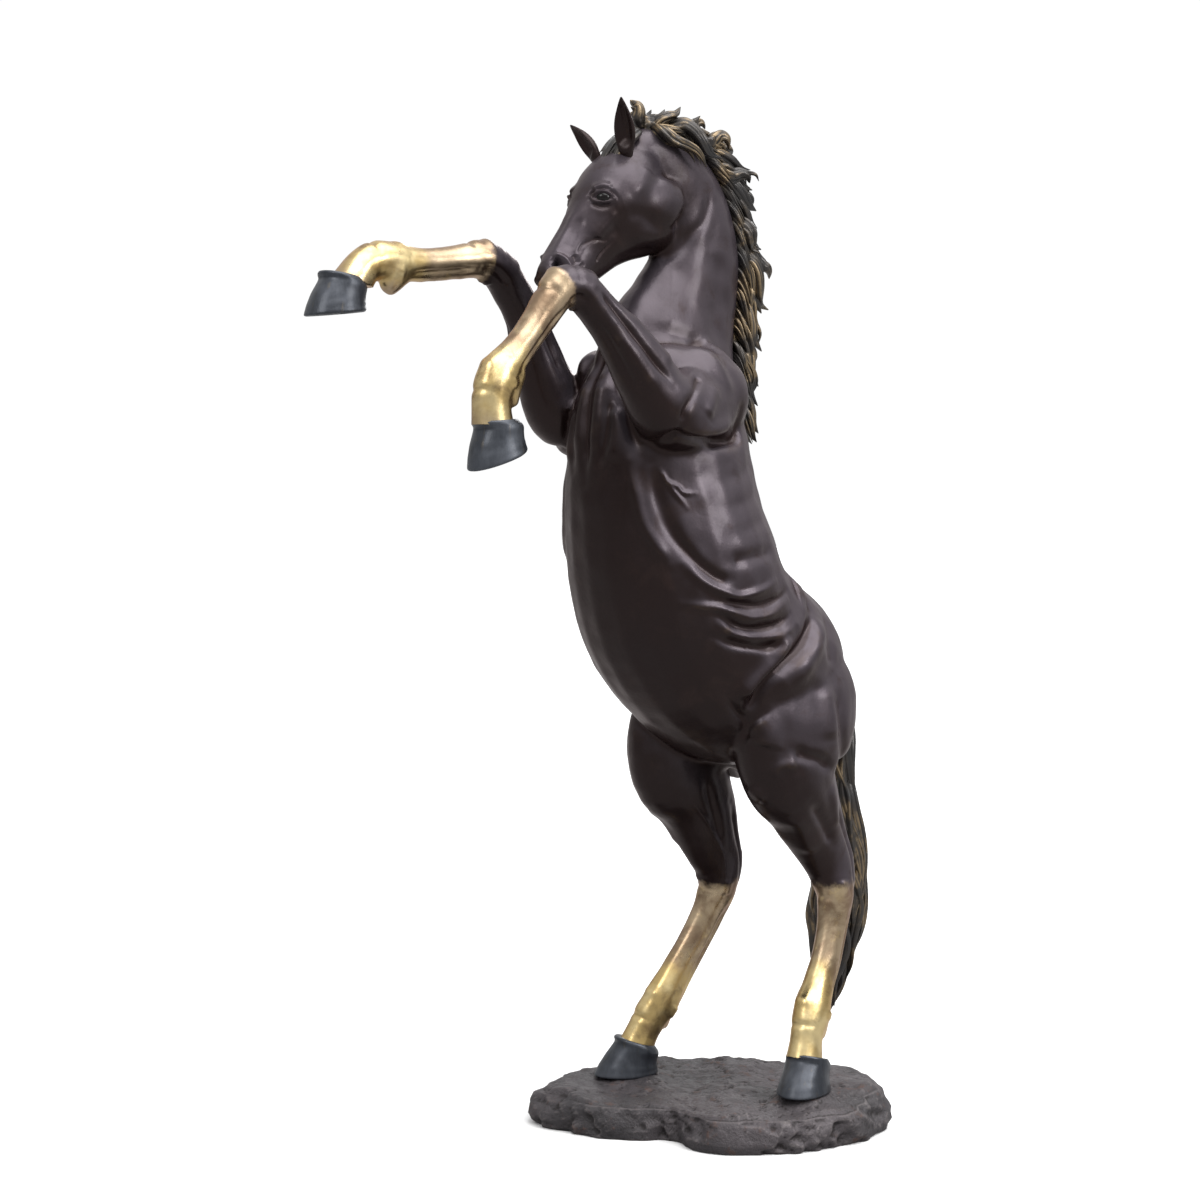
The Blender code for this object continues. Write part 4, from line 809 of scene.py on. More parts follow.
def strands(count, depth, turns, phase):
    """A cross-section cut by grooves that wind along a lock, as of strands laid side by side."""
    def shape(share, angle):
        wind = angle + turns * share
        fine = math.cos(count * wind + phase) + 0.5 * math.cos((2 * count + 1) * wind - 2 * phase)
        return 1.0 - depth * (0.7 - 0.5 * fine)
    return shape


def lock_into(bm, rng, points, width, flat=0.8, turns=1.6, sides=30):
    """A lock of hair: a round root, full at a third, drawn out to a curling tip, grooved all along."""
    taper = np.interp(np.linspace(0, 1, len(points)), [0, 0.35, 0.75, 1.0], [0.75, 1.0, 0.62, 0.06])
    rings = [(*p, width * s, width * flat * s, width * flat * s) for p, s in zip(points, taper)]
    shape = strands(rng.choice([3, 4]), 0.24, rng.uniform(0.3, turns) * rng.choice([-1, 1]), rng.uniform(0, 6))
    loft_into(bm, rings, steps=6, sides=sides, shape=shape)


def crest_point(place):
    k = max(0, min(int(place), len(CREST) - 2))
    y, z = (a + (b - a) * (place - k) for a, b in zip(CREST[k], CREST[k + 1]))
    return Vector((0.0, y, z))


def hair_owner(point):
    for name, (at, normal) in HAIR_WELDS.items():
        if (Vector(point) - Vector(at)).dot(Vector(normal)) > 0:
            return name
    return "mane_lower"


def curled(points, width, rng):
    """The lock's line with a wave across it that grows toward a hooked tip."""
    line = [Vector(row) for row in through([tuple(p) for p in points], 3)]
    wave, phase = rng.uniform(0.4, 0.7), rng.choice([0.0, math.pi])
    made = []
    for i, p in enumerate(line):
        t = i / (len(line) - 1)
        ahead = (line[min(i + 1, len(line) - 1)] - line[max(i - 1, 0)]).normalized()
        across = ahead.cross(Vector((1, 0, 0)))
        made.append(p + across * width * wave * t * math.sin(2.2 * math.pi * t + phase)
                    + Vector((1, 0, 0)) * width * 0.35 * t * math.sin(3.0 * math.pi * t + phase))
    return made


def mane_locks(rng):
    """(points, width, flatness) of every lock.

    The main locks come first, each with two finer ones beside it, then flame-like tufts in threes along the
    crest, then fine locks that lie down both sides of the neck.
    """
    made = []
    for place, offsets, width in LOCKS:
        root = crest_point(place)
        points = [root + Vector(o) for o in offsets]
        if place > 0.9:
            points = curled(points, width, rng)
        made.append((points, width * 1.10, 0.8))
        for _ in range(2):
            shift = Vector((rng.uniform(-1, 1), rng.uniform(-1, 1), rng.uniform(-1, 1))) * width * 0.65
            reach = rng.uniform(0.72, 0.98)
            finer = [points[0] + shift * 0.5]
            finer += [points[0].lerp(p, reach) + shift * (0.6 + 0.6 * i / len(points))
                      for i, p in enumerate(points[1:], 1)]
            made.append((finer, width * rng.uniform(0.40, 0.6), 0.8))
    place = 1.2
    while place < 11.0:
        ahead = (crest_point(min(place + 0.5, 10.99)) - crest_point(place - 0.5)).normalized()
        out = Vector((0.0, -ahead.z, ahead.y))
        for side in (-1.0, 0.0, 1.0):
            root = crest_point(place + 0.12 * side + rng.uniform(-0.08, 0.08)) + Vector((0.016 * side, 0, 0))
            long = rng.uniform(0.85, 1.20) * (0.60 if place < 3.0 else 1.0)
            flame = [(0.004, 0.000, 0.0), (0.019, 0.016, 0.3), (0.029, 0.046, 0.6), (0.034, 0.074, 0.8),
                     (0.048 + rng.uniform(-0.004, 0.010), 0.098, 1.0)]
            points = [root + (out * o + ahead * d) * long + Vector((0.018 * side * s, 0, 0))
                      for o, d, s in flame]
            made.append((points, rng.uniform(0.023, 0.030) * (0.80 if place > 9 or place < 3 else 1.0), 0.68))
        place += 0.50
    place = 1.3
    while place < 10.9:
        for side in (-1, 1):
            root = crest_point(place + rng.uniform(-0.15, 0.15))
            long = rng.uniform(0.8, 1.25) * (0.9 if place > 8 else 1.0)
            down = (crest_point(min(place + 1, 10.9)) - crest_point(place)).normalized()
            spread = 0.020 + 0.012 * long
            points = [root + Vector((side * 0.010, -0.012, 0)),
                      root + Vector((side * spread, -0.008, 0)) + down * 0.018 * long,
                      root + Vector((side * (spread + 0.012), 0.000, 0)) + down * 0.050 * long,
                      root + Vector((side * (spread + 0.014), 0.016, 0)) + down * 0.086 * long]
            made.append((points, rng.uniform(0.011, 0.016), 0.65))
        place += 0.30
    return made


def mane():
    rng = random.Random(11)
    parts = {name: bmesh.new() for name in [*HAIR_WELDS, "mane_lower"]}
    for points, width, flat in mane_locks(rng):
        middle = points[len(points) // 2]
        lock_into(parts[hair_owner(middle)], rng, points, width, flat)
    for name, bm in parts.items():
        run = [(0, y, z, 0.030, 0.024, 0.030) for y, z in CREST[1:] if hair_owner((0, y, z)) == name]
        if len(run) > 1:
            loft_into(bm, run, steps=6, sides=36, shape=strands(9, 0.16, 1.0, 1.0))
    return [(smooth_piece(bm, name, "-hair", True), name) for name, bm in parts.items()]


def mark_tips(bm):
    """Marks how far each point of a grooved form stands out of its own groove."""
    layer = bm.verts.layers.float.new("ridge")
    bm.normal_update()
    for v in bm.verts:
        if not v.link_edges:
            continue
        mean = sum((e.other_vert(v).co for e in v.link_edges), Vector()) / len(v.link_edges)
        size = sum(e.calc_length() for e in v.link_edges) / len(v.link_edges)
        v[layer] = max(-1.0, min(1.0, (v.co - mean).dot(v.normal) / max(size, 1e-6) * 5.0))


def tail():
    """The tail in two castings: a grooved trunk, and locks that wind round it and leave it in loose ends."""
    rng = random.Random(5)
    rows = np.array(TAIL)
    parts = {"tail_upper": bmesh.new(), "tail_lower": bmesh.new()}
    split = 6
    for name, part in (("tail_upper", TAIL[:split + 1]), ("tail_lower", TAIL[split:])):
        slim = [(x, y, z, w * 0.86, f * 0.86, r * 0.86) for x, y, z, w, f, r in part]
        loft_into(parts[name], slim, steps=8, sides=64, shape=strands(11, 0.14, 1.2, 0.4))
    for k in range(30):
        angle = 2 * math.pi * k * 0.381966
        first = rng.uniform(1.6, 6.6)
        last = min(first + rng.uniform(3.4, 5.2), 11.0)
        turn = rng.uniform(0.5, 1.4) * rng.choice([1, 1, -1])
        points = []
        for s in np.linspace(first, last, 9):
            i = min(int(s), len(rows) - 2)
            row = rows[i] + (rows[i + 1] - rows[i]) * (s - i)
            share = (s - first) / (last - first)
            twist = angle + turn * share
            out = 0.80 + 0.20 * share * rng.uniform(0.2, 1.0)
            wave = 0.012 * math.sin(2.4 * s + 1.9 * k)
            points.append(Vector((row[3] * out * math.cos(twist) - wave * math.sin(twist),
                                  row[1] + row[4] * out * math.sin(twist) + wave * math.cos(twist), row[2])))
        name = "tail_upper" if points[3].z > 0.62 else "tail_lower"
        lock_into(parts[name], rng, points, rng.uniform(0.018, 0.030), 0.75, 1.2)
    return [(smooth_piece(bm, name, "-hair", True), name) for name, bm in parts.items()]


# ---- Hooves, ears, eyes, base -------------------------------------------------------------------------------

def hoof(name):
    """Horn wall under a low coronet, with bulbs at the heel, and a hollow sole with its frog.

    The wall's stations are (toeward, upward, half width, reach ahead, reach behind, share of the coronet's
    slope).
    """
    sole, toe, up, side = hoof_frame(name)
    back, front = CORONET_BACK, CORONET_FRONT
    middle, half = (front + back) / 2, (front - back).length / 2
    long, rim = (0.010, 0.0035) if "hind" in name else (0.0, 0.0)
    rows = through([
        (0.000, 0.000, 0.0545, 0.069 + long, 0.057 + long, 0.0),
        (0.000, 0.004, 0.0580, 0.0725 + long, 0.0610 + long, 0.0),
        (-0.003, 0.020, 0.0550, 0.0670 + 0.7 * long, 0.0590 + 0.7 * long, 0.25),
        (-0.009, 0.040, 0.0510, 0.0590 + 0.4 * long, 0.0550 + 0.4 * long, 0.55),
        (middle.x - 0.002, middle.y - 0.016, 0.0500 + 0.3 * rim, half + 0.0035 + rim, half + 0.0025 + rim, 0.9),
        (middle.x, middle.y - 0.004, 0.0470 + 0.5 * rim, half + 0.0020 + rim, half + 0.0015 + rim, 1.0),
        (middle.x, middle.y + 0.001, 0.0440 + 0.5 * rim, half - 0.0005 + 0.6 * rim,
         half - 0.001 + 0.5 * rim, 1.0),
    ], 7)
    slope = (front - back) / (2 * half)
    sides = 72
    bm = bmesh.new()

    loops = []
    for share in (0.08, 0.35, 0.62, 0.84, 0.93):
        loop = []
        for angle in circle(sides):
            reach = ((0.067 if math.cos(angle) > 0 else 0.057) + long) * math.cos(angle) * share
            across = 0.0525 * math.sin(angle) * share
            hollow = 0.007 * (1 - share ** 6)
            frog = max(0.0, 1 - abs(across) / (0.006 + 0.016 * max(0.0, -reach / 0.05 + 0.35)))
            hollow -= 0.008 * min(frog * 2.5, 1.0) * (1.0 if reach < 0.012 else 0.0) * (1 - share ** 4)
            loop.append(bm.verts.new(sole + toe * reach + up * hollow + side * across))
        loops.append(loop)
    for i, (x, y, width, ahead, behind, tilt) in enumerate(rows):
        along = (Vector((1, 0)).lerp(slope, float(tilt))).normalized()
        level = i / (len(rows) - 1)
        loop = []
        for angle in circle(sides):
            rings = 0.00012 * math.sin(level * 42 + 0.6 * math.cos(angle)) * (level < 0.80)
            heel = max(0.0, -math.cos(angle))
            bulb = 0.003 * math.exp(-((level - 0.66) / 0.22) ** 2) * heel * min(abs(math.sin(angle)) * 3, 1.0)
            cleft = 0.007 * math.exp(-(math.sin(angle) / 0.10) ** 2) * (heel > 0) * level
            grow = 1.0 + (rings + bulb - cleft) / 0.055
            reach = (ahead if math.cos(angle) > 0 else behind) * math.cos(angle) * grow
            flat = Vector((x, y)) + along * reach
            loop.append(bm.verts.new(sole + toe * flat.x + up * flat.y + side * width * grow * math.sin(angle)))
        loops.append(loop)
    bridge(bm, loops)
    return smooth_piece(bm, name, "-horn")


def ear(name, base, tip, opening, width=EAR_WIDTH):
    """A pointed ear: a curled shell, open to one side, marked as a groove inside."""
    base, tip, opening = Vector(base), Vector(tip), Vector(opening)
    along = (tip - base).normalized()
    opening = (opening - opening.dot(along) * along).normalized()
    across = along.cross(opening)

    def around(centre, angle, radius):
        turn = math.radians(angle)
        return centre + across * radius * math.sin(turn) - opening * 0.75 * radius * math.cos(turn)

    stations = through(EAR_STATIONS, 3)
    bm = bmesh.new()
    layer = bm.verts.layers.float.new("ridge")
    loops = []
    for place, wide, hollow in stations:
        hollow = min(max(hollow, 0.0), 1.0)
        centre = base.lerp(tip, place) + opening * width * 0.25 * place * place
        radius = width * max(wide, 0.05)
        points = [around(centre, angle, radius) for angle in EAR_BACK]
        for full, sunk, depth in EAR_FRONT:
            points.append(around(centre, full, radius).lerp(around(centre, sunk, radius * depth), hollow))
        loops.append([bm.verts.new(point) for point in points])
        for v in loops[-1][len(EAR_BACK):]:
            v[layer] = -0.8 * hollow
    bridge(bm, loops)
    obj = smooth_piece(bm, name, "-casting")
    subdivide(obj, 2)
    obj.data.shade_smooth()
    return obj


def subdivide(obj, levels):
    modifier = obj.modifiers.new("Subdivision", "SUBSURF")
    modifier.levels = modifier.render_levels = levels
    graph = bpy.context.evaluated_depsgraph_get()
    mesh = bpy.data.meshes.new_from_object(obj.evaluated_get(graph))
    obj.modifiers.clear()
    obj.data = mesh


def eye(name, centre, outward):
    """A polished dark eyeball, a little longer than it is high."""
    centre, outward = Vector(centre), Vector(outward).normalized()
    turn = outward.to_track_quat("Z", "Y").to_matrix()
    bm = bmesh.new()
    loops = []
    for k in range(1, 40):
        r, h = EYE_RADIUS * math.sin(math.pi * k / 40), EYE_RADIUS * math.cos(math.pi * k / 40)
        loops.append([bm.verts.new(centre + turn @ Vector((r * EYE_LENGTH * math.cos(a), r * math.sin(a), h)))
                      for a in circle(40)])
    bridge(bm, loops)
    return smooth_piece(bm, name)


def rock_radius(angle):
    place = (angle - BASE_ANGLE) / (2 * math.pi) * len(BASE_RADII) % len(BASE_RADII)
    k = int(place)
    a, b, c, d = (BASE_RADII[(k + i) % len(BASE_RADII)] for i in (-1, 0, 1, 2))
    t = place - k
    return b + 0.5 * t * ((c - a) + t * (2 * a - 5 * b + 4 * c - d + t * (3 * b - a - 3 * c + d)))


def rock_rise(x, y):
    """How far the rock rises above its front edge: up to the back right, with a mound at the back left."""
    climb = 0.020 * float(smooth_step(0.02, 0.34, -0.766 * x + 0.643 * y))
    mound = 0.024 * math.exp(-((x - 0.235) ** 2 + (y - 0.235) ** 2) / 0.085 ** 2)
    return climb + mound


def rock_top(x, y):
    """Height of the rock: uneven, and raised round each hind hoof, which stands a little into it."""
    top = BASE_HEIGHT + 0.007 * math.sin(13 * x + 1.0) * math.cos(11 * y) + 0.005 * math.sin(23 * (x + y))
    top += rock_rise(x, y)
    for hoof_name in ("hoof_hind_right", "hoof_hind_left"):
        sole = Vector(HOOVES[hoof_name][0])
        near = math.exp(-((x - sole.x) ** 2 + (y - sole.y) ** 2) / 0.075 ** 2)
        top += (sole.z + 0.009 - top) * min(1.15 * near, 1.0)
    return top


def broken(point, size, detail=4):
    return noise.fractal(point / size, 1.0, 2.1, detail)


def rock():
    """The rock: a chipped, pitted rim round a top that feet and weather have smoothed, hollow underneath."""
    bm = bmesh.new()
    sides = 420
    loops = []
    for z, share in ((0.056, 0.05), (0.056, 0.35), (0.056, 0.65), (0.052, 0.84), (0.030, 0.88), (0.001, 0.90)):
        loops.append([bm.verts.new((rock_radius(a) * share * math.cos(a),
                                    rock_radius(a) * share * math.sin(a), z)) for a in circle(sides)])
    side_rows = 16
    for i in range(side_rows + 1):
        level = i / side_rows
        z = ROCK_EDGE * level
        share = float(np.interp(level, [0, 0.06, 0.3, 0.65, 0.88, 1.0],
                                [0.962, 0.978, 1.0, 0.985, 0.965, 0.94]))
        loop = []
        for a in circle(sides):
            radius = rock_radius(a) * share
            p = Vector((radius * math.cos(a), radius * math.sin(a), z))
            rough = (0.018 * broken(p + Vector((5, 2, 1)), 0.120, 3)
                     + 0.005 * broken(p + Vector((1, 7, 3)), 0.030, 5))
            crag = max(0.0, broken(Vector((p.x, p.y, 1.6 * p.z)) + Vector((9, 4, 2)), 0.065, 2) - 0.05)
            radius += min(rough + 0.002 - 0.030 * crag, 0.011)
            x, y = radius * math.cos(a), radius * math.sin(a)
            loop.append(bm.verts.new((x, y, z * (ROCK_EDGE + rock_rise(x, y)) / ROCK_EDGE)))
        loops.append(loop)
    rim = [v.co.copy() for v in loops[-1]]
    for share in np.concatenate([np.linspace(0.985, 0.9, 8), np.linspace(0.88, 0.05, 62)]):
        loop = []
        for edge in rim:
            x, y = edge.x * share, edge.y * share
            p = Vector((x, y, 0.0))
            worn = 0.0045 * broken(p + Vector((3, 3, 3)), 0.09) + 0.0028 * broken(p + Vector((2, 8, 1)), 0.028)
            pit = max(0.0, broken(p + Vector((6, 1, 8)), 0.030, 5) - 0.30) * 0.010
            top = rock_top(x, y) + worn - pit
            lip = smooth_step(1.0, 0.955, share)
            low = ROCK_EDGE + rock_rise(edge.x, edge.y)
            loop.append(bm.verts.new((x, y, low + (top - low) * float(lip) - 0.0015 * float(share > 0.95))))
        loops.append(loop)
    bridge(bm, loops)
    return smooth_piece(bm, "base-rock", ridged=True)


# ---- Materials ----------------------------------------------------------------------------------------------

def new_node(tree, kind, inputs=(), **properties):
    """A node with its properties set, and each listed input set to a value or linked to an output."""
    node = tree.nodes.new("ShaderNode" + kind)
    for name, value in properties.items():
        setattr(node, name, value)
    for socket, source in dict(inputs).items():
        put(tree, node.inputs[socket], source)
    return node


def put(tree, socket, source):
    if isinstance(source, bpy.types.NodeSocket):
        tree.links.new(source, socket)
    else:
        socket.default_value = source


class Shader:
    """A Principled material with its nodes made by short calls."""

    def __init__(self, name, **constants):
        self.material = bpy.data.materials.new(name)
        self.material.use_nodes = True
        self.tree = self.material.node_tree
        self.bsdf = self.tree.nodes["Principled BSDF"]
        for socket, value in constants.items():
            self.bsdf.inputs[socket.replace("_", " ")].default_value = value
        self.place = self.node("TexCoord").outputs["Object"]

    def node(self, kind, inputs=(), **properties):
        return new_node(self.tree, kind, inputs, **properties)

    def attribute(self, name):
        return self.node("Attribute", attribute_name=name).outputs["Fac"]

    def noise(self, scale, detail=4.0, rough=0.55, distort=0.0, stretch=None):
        place = self.place
        if stretch:
            place = self.node("Mapping", {"Scale": stretch, "Vector": place}).outputs["Vector"]
        return self.node("TexNoise", {"Scale": scale, "Detail": detail, "Roughness": rough,
                                      "Distortion": distort, "Vector": place}).outputs["Fac"]

    def ramp(self, source, low, high, start=0.0, end=1.0):
        return self.node("MapRange", {"From Min": low, "From Max": high, "To Min": start, "To Max": end,
                                      "Value": source}, interpolation_type="SMOOTHSTEP").outputs["Result"]

    def math(self, operation, a, b=0.0):
        return self.node("Math", {0: a, 1: b}, operation=operation).outputs[0]

    def uneven(self, source, amount, *noise):
        """The source with noise added, centred on none."""
        spread = self.math("MULTIPLY", self.math("SUBTRACT", self.noise(*noise), 0.5), amount)
        return self.math("ADD", source, spread)

    def mix(self, share, a, b):
        """Between two colours, or two sockets that carry colours."""
        a, b = ((*c, 1.0) if isinstance(c, tuple) else c for c in (a, b))
        return self.node("Mix", {"Factor": share, 6: a, 7: b}, data_type="RGBA").outputs[2]

    def blend(self, share, a, b):
        """Between two numbers."""
        return self.node("Mix", {"Factor": share, 2: a, 3: b}).outputs[0]

    def bump(self, height, strength, distance, before=None):
        inputs = {"Strength": strength, "Distance": distance, "Height": height}
        if before:
            inputs["Normal"] = before
        return self.node("Bump", inputs).outputs["Normal"]

    def finish(self, color, roughness, metallic=None, normal=None):
        wanted = {"Base Color": color, "Roughness": roughness, "Metallic": metallic, "Normal": normal}
        for socket, source in wanted.items():
            if source is not None:
                put(self.tree, self.bsdf.inputs[socket], source)
        return self.material


def patina():
    """Cast bronze: a waxed near-black brown patina that the legs' polished gold shows through in patches."""
    s = Shader("patinated-bronze", Coat_Weight=0.12, Coat_Roughness=0.16, Specular_IOR_Level=0.32,
               Specular_Tint=(1.0, 0.86, 0.84, 1.0))
    ridge, gold = s.attribute("ridge"), s.attribute("gold")
    broad, blotch, fine = s.noise(3.0), s.noise(14.0, 6.0, 0.6, 0.6), s.noise(90.0, 3.0)
    # Painted light: the patina colour is lighter mauve grey where the surface faces LIT_SIDE (painted
    # highlight) and dark red-brown where it turns away (painted shade).
    painted_light = s.uneven(s.attribute("painted_light"), 0.8, 6.0, 5.0)
    dark = s.mix(s.ramp(painted_light, 0.15, 1.0), (0.0135, 0.0068, 0.0065), (0.066, 0.055, 0.066))
    dark = s.mix(s.ramp(blotch, 0.52, 0.75, 0.0, 0.6), dark, (0.026, 0.014, 0.012))
    dark = s.mix(s.ramp(broad, 0.45, 0.70, 0.0, 0.3), dark, (0.012, 0.009, 0.010))
    rubbed = s.math("MULTIPLY", s.ramp(ridge, 0.40, 1.0), s.ramp(blotch, 0.45, 0.70))
    dark = s.mix(s.math("MULTIPLY", rubbed, 0.16), dark, (0.110, 0.075, 0.045))
    dark = s.mix(s.ramp(ridge, -0.2, -0.9, 0.0, 0.75), dark, (0.014, 0.006, 0.0055))
    tan = s.mix(s.ramp(s.noise(9.0, 5.0, 0.6, 0.8), 0.40, 0.62), (0.44, 0.34, 0.225), (0.26, 0.180, 0.115))
    tan = s.mix(s.ramp(s.noise(30.0, 5.0, 0.65), 0.56, 0.72, 0.0, 0.7), tan, (0.62, 0.47, 0.24))
    yellow = s.mix(s.ramp(s.noise(16.0, 4.0), 0.40, 0.68), (0.55, 0.40, 0.17), (0.76, 0.61, 0.32))
    polish = s.uneven(s.attribute("polish"), 1.3, 19.0, 5.0)
    bright = s.mix(s.ramp(polish, 0.15, 0.95), tan, yellow)
    bright = s.mix(s.ramp(ridge, -0.35, -1.0, 0.0, 0.65), bright, (0.17, 0.105, 0.050))
    share = s.ramp(s.uneven(gold, 0.9, 22.0, 5.0, 0.62), 0.30, 0.66)
    stain = s.ramp(s.noise(13.0, 6.0, 0.62, 0.5), 0.52, 0.70, 0.0, 0.65)
    bright = s.mix(stain, bright, (0.150, 0.090, 0.050))
    color = s.mix(share, dark, bright)
    rough = s.blend(share, s.ramp(blotch, 0.3, 0.7, 0.31, 0.43), s.ramp(blotch, 0.3, 0.7, 0.26, 0.40))
    metal = s.blend(share, 0.50, 1.0)
    normal = s.bump(fine, 0.10, 0.002)
    normal = s.bump(s.noise(26.0, 5.0), 0.16, 0.006, normal)
    return s.finish(color, rough, metal, normal)


def horn():
    """Blue-grey patina on the hooves, with a fine vertical grain and paler scuffs."""
    s = Shader("hoof-patina", Coat_Weight=0.2, Coat_Roughness=0.25)
    grain = s.noise(70.0, 3.0, 0.6, 0.0, (1.0, 1.0, 0.15))
    blotch = s.noise(18.0, 5.0)
    color = s.mix(s.ramp(blotch, 0.35, 0.7), (0.030, 0.034, 0.043), (0.062, 0.068, 0.082))
    color = s.mix(s.ramp(grain, 0.60, 0.80, 0.0, 0.6), color, (0.105, 0.090, 0.070))
    normal = s.bump(grain, 0.22, 0.003)
    return s.finish(color, s.ramp(blotch, 0.3, 0.7, 0.30, 0.48), s.ramp(grain, 0.3, 0.8, 0.5, 0.8), normal)


def eyeball():
    """The eyes' black patina, buffed glossier than the rest."""
    s = Shader("eye-patina", Metallic=0.0, Specular_IOR_Level=0.3)
    color = s.mix(s.noise(120.0, 2.0), (0.0015, 0.0012, 0.0012), (0.006, 0.004, 0.004))
    return s.finish(color, s.ramp(s.noise(60.0), 0.3, 0.7, 0.14, 0.20))


def hair():
    """Dark brown in the grooves of the hair, rubbed to tan gold on its strands."""
    s = Shader("hair-bronze", Coat_Weight=0.15, Coat_Roughness=0.22)
    ridge = s.attribute("ridge")
    blotch = s.noise(11.0, 5.0, 0.6, 0.4)
    color = s.mix(s.ramp(blotch, 0.35, 0.65), (0.034, 0.033, 0.035), (0.062, 0.050, 0.039))
    worn = s.math("MULTIPLY", s.ramp(ridge, -0.10, 0.45), s.ramp(blotch, 0.50, 0.62, 0.02, 0.8))
    color = s.mix(worn, color, (0.29, 0.215, 0.130))
    color = s.mix(s.ramp(ridge, -0.05, -0.5, 0.0, 0.85), color, (0.009, 0.007, 0.006))
    normal = s.bump(s.noise(140.0, 2.0), 0.12, 0.002)
    return s.finish(color, s.ramp(blotch, 0.3, 0.7, 0.28, 0.42), s.blend(worn, 0.6, 1.0), normal)


def stone():
    """Rock cast in bronze: mauve grey-brown, chipped red-brown, darker in its pits, paler where worn."""
    s = Shader("rock-bronze")
    ridge = s.attribute("ridge")
    broad, blotch, grit = s.noise(5.0, 6.0), s.noise(26.0, 6.0, 0.65), s.noise(160.0, 3.0)
    color = s.mix(s.ramp(broad, 0.35, 0.65), (0.038, 0.034, 0.037), (0.078, 0.068, 0.073))
    color = s.mix(s.ramp(blotch, 0.57, 0.70, 0.0, 0.6), color, (0.110, 0.058, 0.042))
    color = s.mix(s.ramp(ridge, 0.3, 0.9, 0.0, 0.4), color, (0.170, 0.150, 0.150))
    color = s.mix(s.ramp(ridge, -0.1, -0.7, 0.0, 0.8), color, (0.018, 0.014, 0.014))
    color = s.mix(s.ramp(grit, 0.62, 0.75, 0.0, 0.5), color, (0.028, 0.022, 0.022))
    normal = s.bump(grit, 0.35, 0.003)
    normal = s.bump(blotch, 0.80, 0.012, normal)
    return s.finish(color, s.ramp(blotch, 0.3, 0.7, 0.48, 0.72), s.ramp(broad, 0.3, 0.7, 0.15, 0.45), normal)


def steel():
    """Hot-rolled steel bar: grey, faintly blued, with rust in its pores."""
    s = Shader("frame-steel-worn")
    blotch, fine = s.noise(30.0, 6.0, 0.62), s.noise(240.0, 2.0)
    color = s.mix(s.ramp(blotch, 0.35, 0.65), (0.30, 0.31, 0.33), (0.42, 0.42, 0.43))
    color = s.mix(s.ramp(blotch, 0.62, 0.74, 0.0, 0.8), color, (0.20, 0.085, 0.040))
    return s.finish(color, s.ramp(blotch, 0.3, 0.8, 0.30, 0.65), s.ramp(blotch, 0.62, 0.78, 1.0, 0.2),
                    s.bump(fine, 0.15, 0.001))


def floor_material():
    """Near white to look at, and darker in what it reflects on the bronze."""
    s = Shader("studio-floor")
    color = s.mix(s.noise(1.2, 2.0), (0.92, 0.92, 0.92), (0.95, 0.95, 0.95))
    seen = s.node("LightPath").outputs["Is Camera Ray"]
    return s.finish(s.mix(seen, (0.32, 0.32, 0.32), color), 0.9)


# ---- Scene --------------------------------------------------------------------------------------------------

def dressed(obj, material, slot, *nodes):
    obj.data.materials.clear()
    obj.data.materials.append(material)
    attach(obj, "root")
    if nodes:
        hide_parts(*nodes)
    return obj


def sky(tree):
    """A white room to look at; what lights the bronze is dim at the horizon and brighter overhead."""
    place = new_node(tree, "TexCoord").outputs["Generated"]
    level = new_node(tree, "SeparateXYZ", {0: place}).outputs["Z"]
    light = new_node(tree, "MapRange", {"From Min": -0.05, "From Max": 0.60, "To Min": 0.34, "To Max": 0.80,
                                        "Value": level}, interpolation_type="SMOOTHSTEP").outputs["Result"]
    camera_ray = new_node(tree, "LightPath").outputs["Is Camera Ray"]
    strength = new_node(tree, "Mix", {"Factor": camera_ray, 2: light, 3: 1.02}).outputs[0]
    tree.links.new(strength, tree.nodes["Background"].inputs["Strength"])
    tree.nodes["Background"].inputs["Color"].default_value = (1.0, 1.0, 1.0, 1.0)


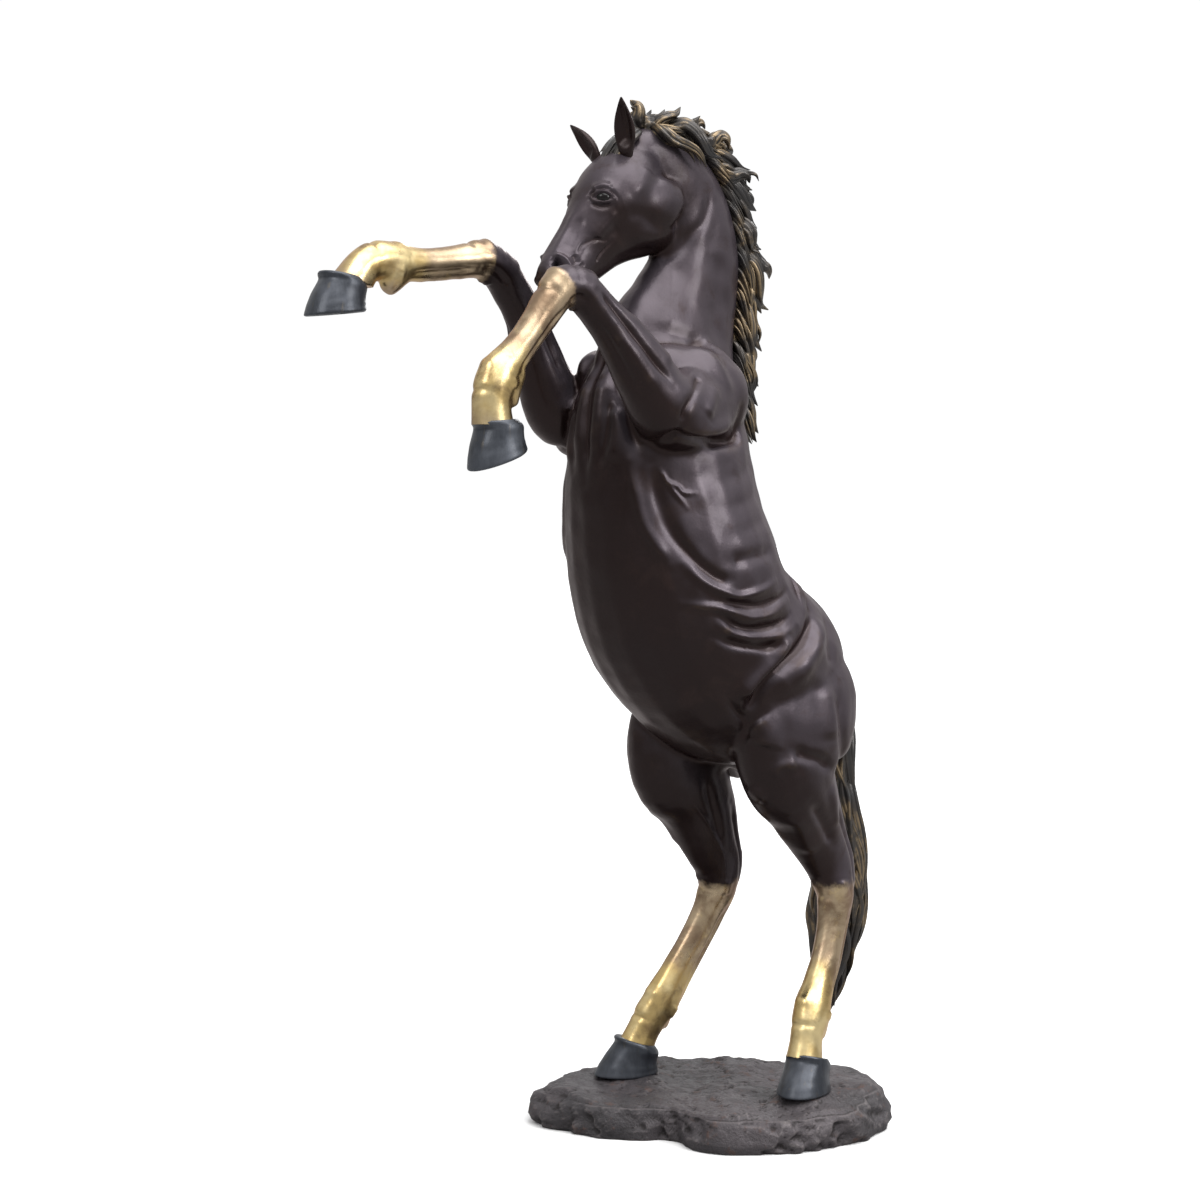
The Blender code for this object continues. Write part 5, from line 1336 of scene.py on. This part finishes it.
def aimed(name, data, place, direction):
    """A camera or light at a place, looking along a direction."""
    obj = linked(name, data)
    obj.location = place
    obj.rotation_euler = Vector(direction).to_track_quat("-Z", "Y").to_euler()
    return obj


def studio():
    """A camera at standing height in front of the left shoulder, a white room, a broad sun and soft lamps."""
    camera = bpy.data.cameras.new("camera")
    camera.sensor_width = SENSOR
    camera.lens = SENSOR * 2193 / 1200
    look = Vector(CAMERA_LOOKS_AT) - Vector(CAMERA_PLACE)
    bpy.context.scene.camera = aimed("camera", camera, CAMERA_PLACE, look)

    bm = bmesh.new()
    bmesh.ops.create_circle(bm, cap_ends=True, radius=60.0, segments=96)
    floor = linked("floor", from_bmesh(bm, "floor"))
    floor.data.materials.append(floor_material())

    world = bpy.data.worlds.new("studio")
    world.use_nodes = True
    sky(world.node_tree)
    bpy.context.scene.world = world
    bpy.context.scene.view_settings.view_transform = "Standard"

    sun = bpy.data.lights.new("sun", "SUN")
    sun.energy, sun.angle = 3.3, math.radians(62)
    aimed("sun", sun, (0, 0, 0), (-0.42, -0.10, -0.90))
    for name, place, size, power in LAMPS:
        light = bpy.data.lights.new(name, "AREA")
        light.shape, light.size, light.energy = "DISK", size, power
        aimed(name, light, place, Vector(LAMPS_LOOK_AT) - Vector(place))


def main():
    bronze, hoof_metal, hair_metal, eye_metal = patina(), horn(), hair(), eyeball()
    for node, obj in body().items():
        dressed(obj, bronze, "gold_bronze" if node.startswith("lower_") else "dark_bronze", node)
    for name in HOOVES:
        dressed(hoof(name), hoof_metal, "hoof_bronze", name)
    for name, *shape in EARS:
        dressed(ear(name, *shape), bronze, "dark_bronze", name)
    for name, sign in (("eye-left", 1), ("eye-right", -1)):
        (x, *place), (out, *facing) = EYE_PLACE, EYE_FACING
        dressed(eye(name, (sign * x, *place), (sign * out, *facing)), eye_metal, "dark_bronze")
    for obj, node in mane() + tail():
        dressed(obj, hair_metal, "hair_bronze", node)
    dressed(rock(), stone(), "rock_base", "base_shell")
    metal = steel()
    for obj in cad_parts.values():
        if not obj.hide_render:
            for place in obj.material_slots:
                place.material = metal
    studio()


main()
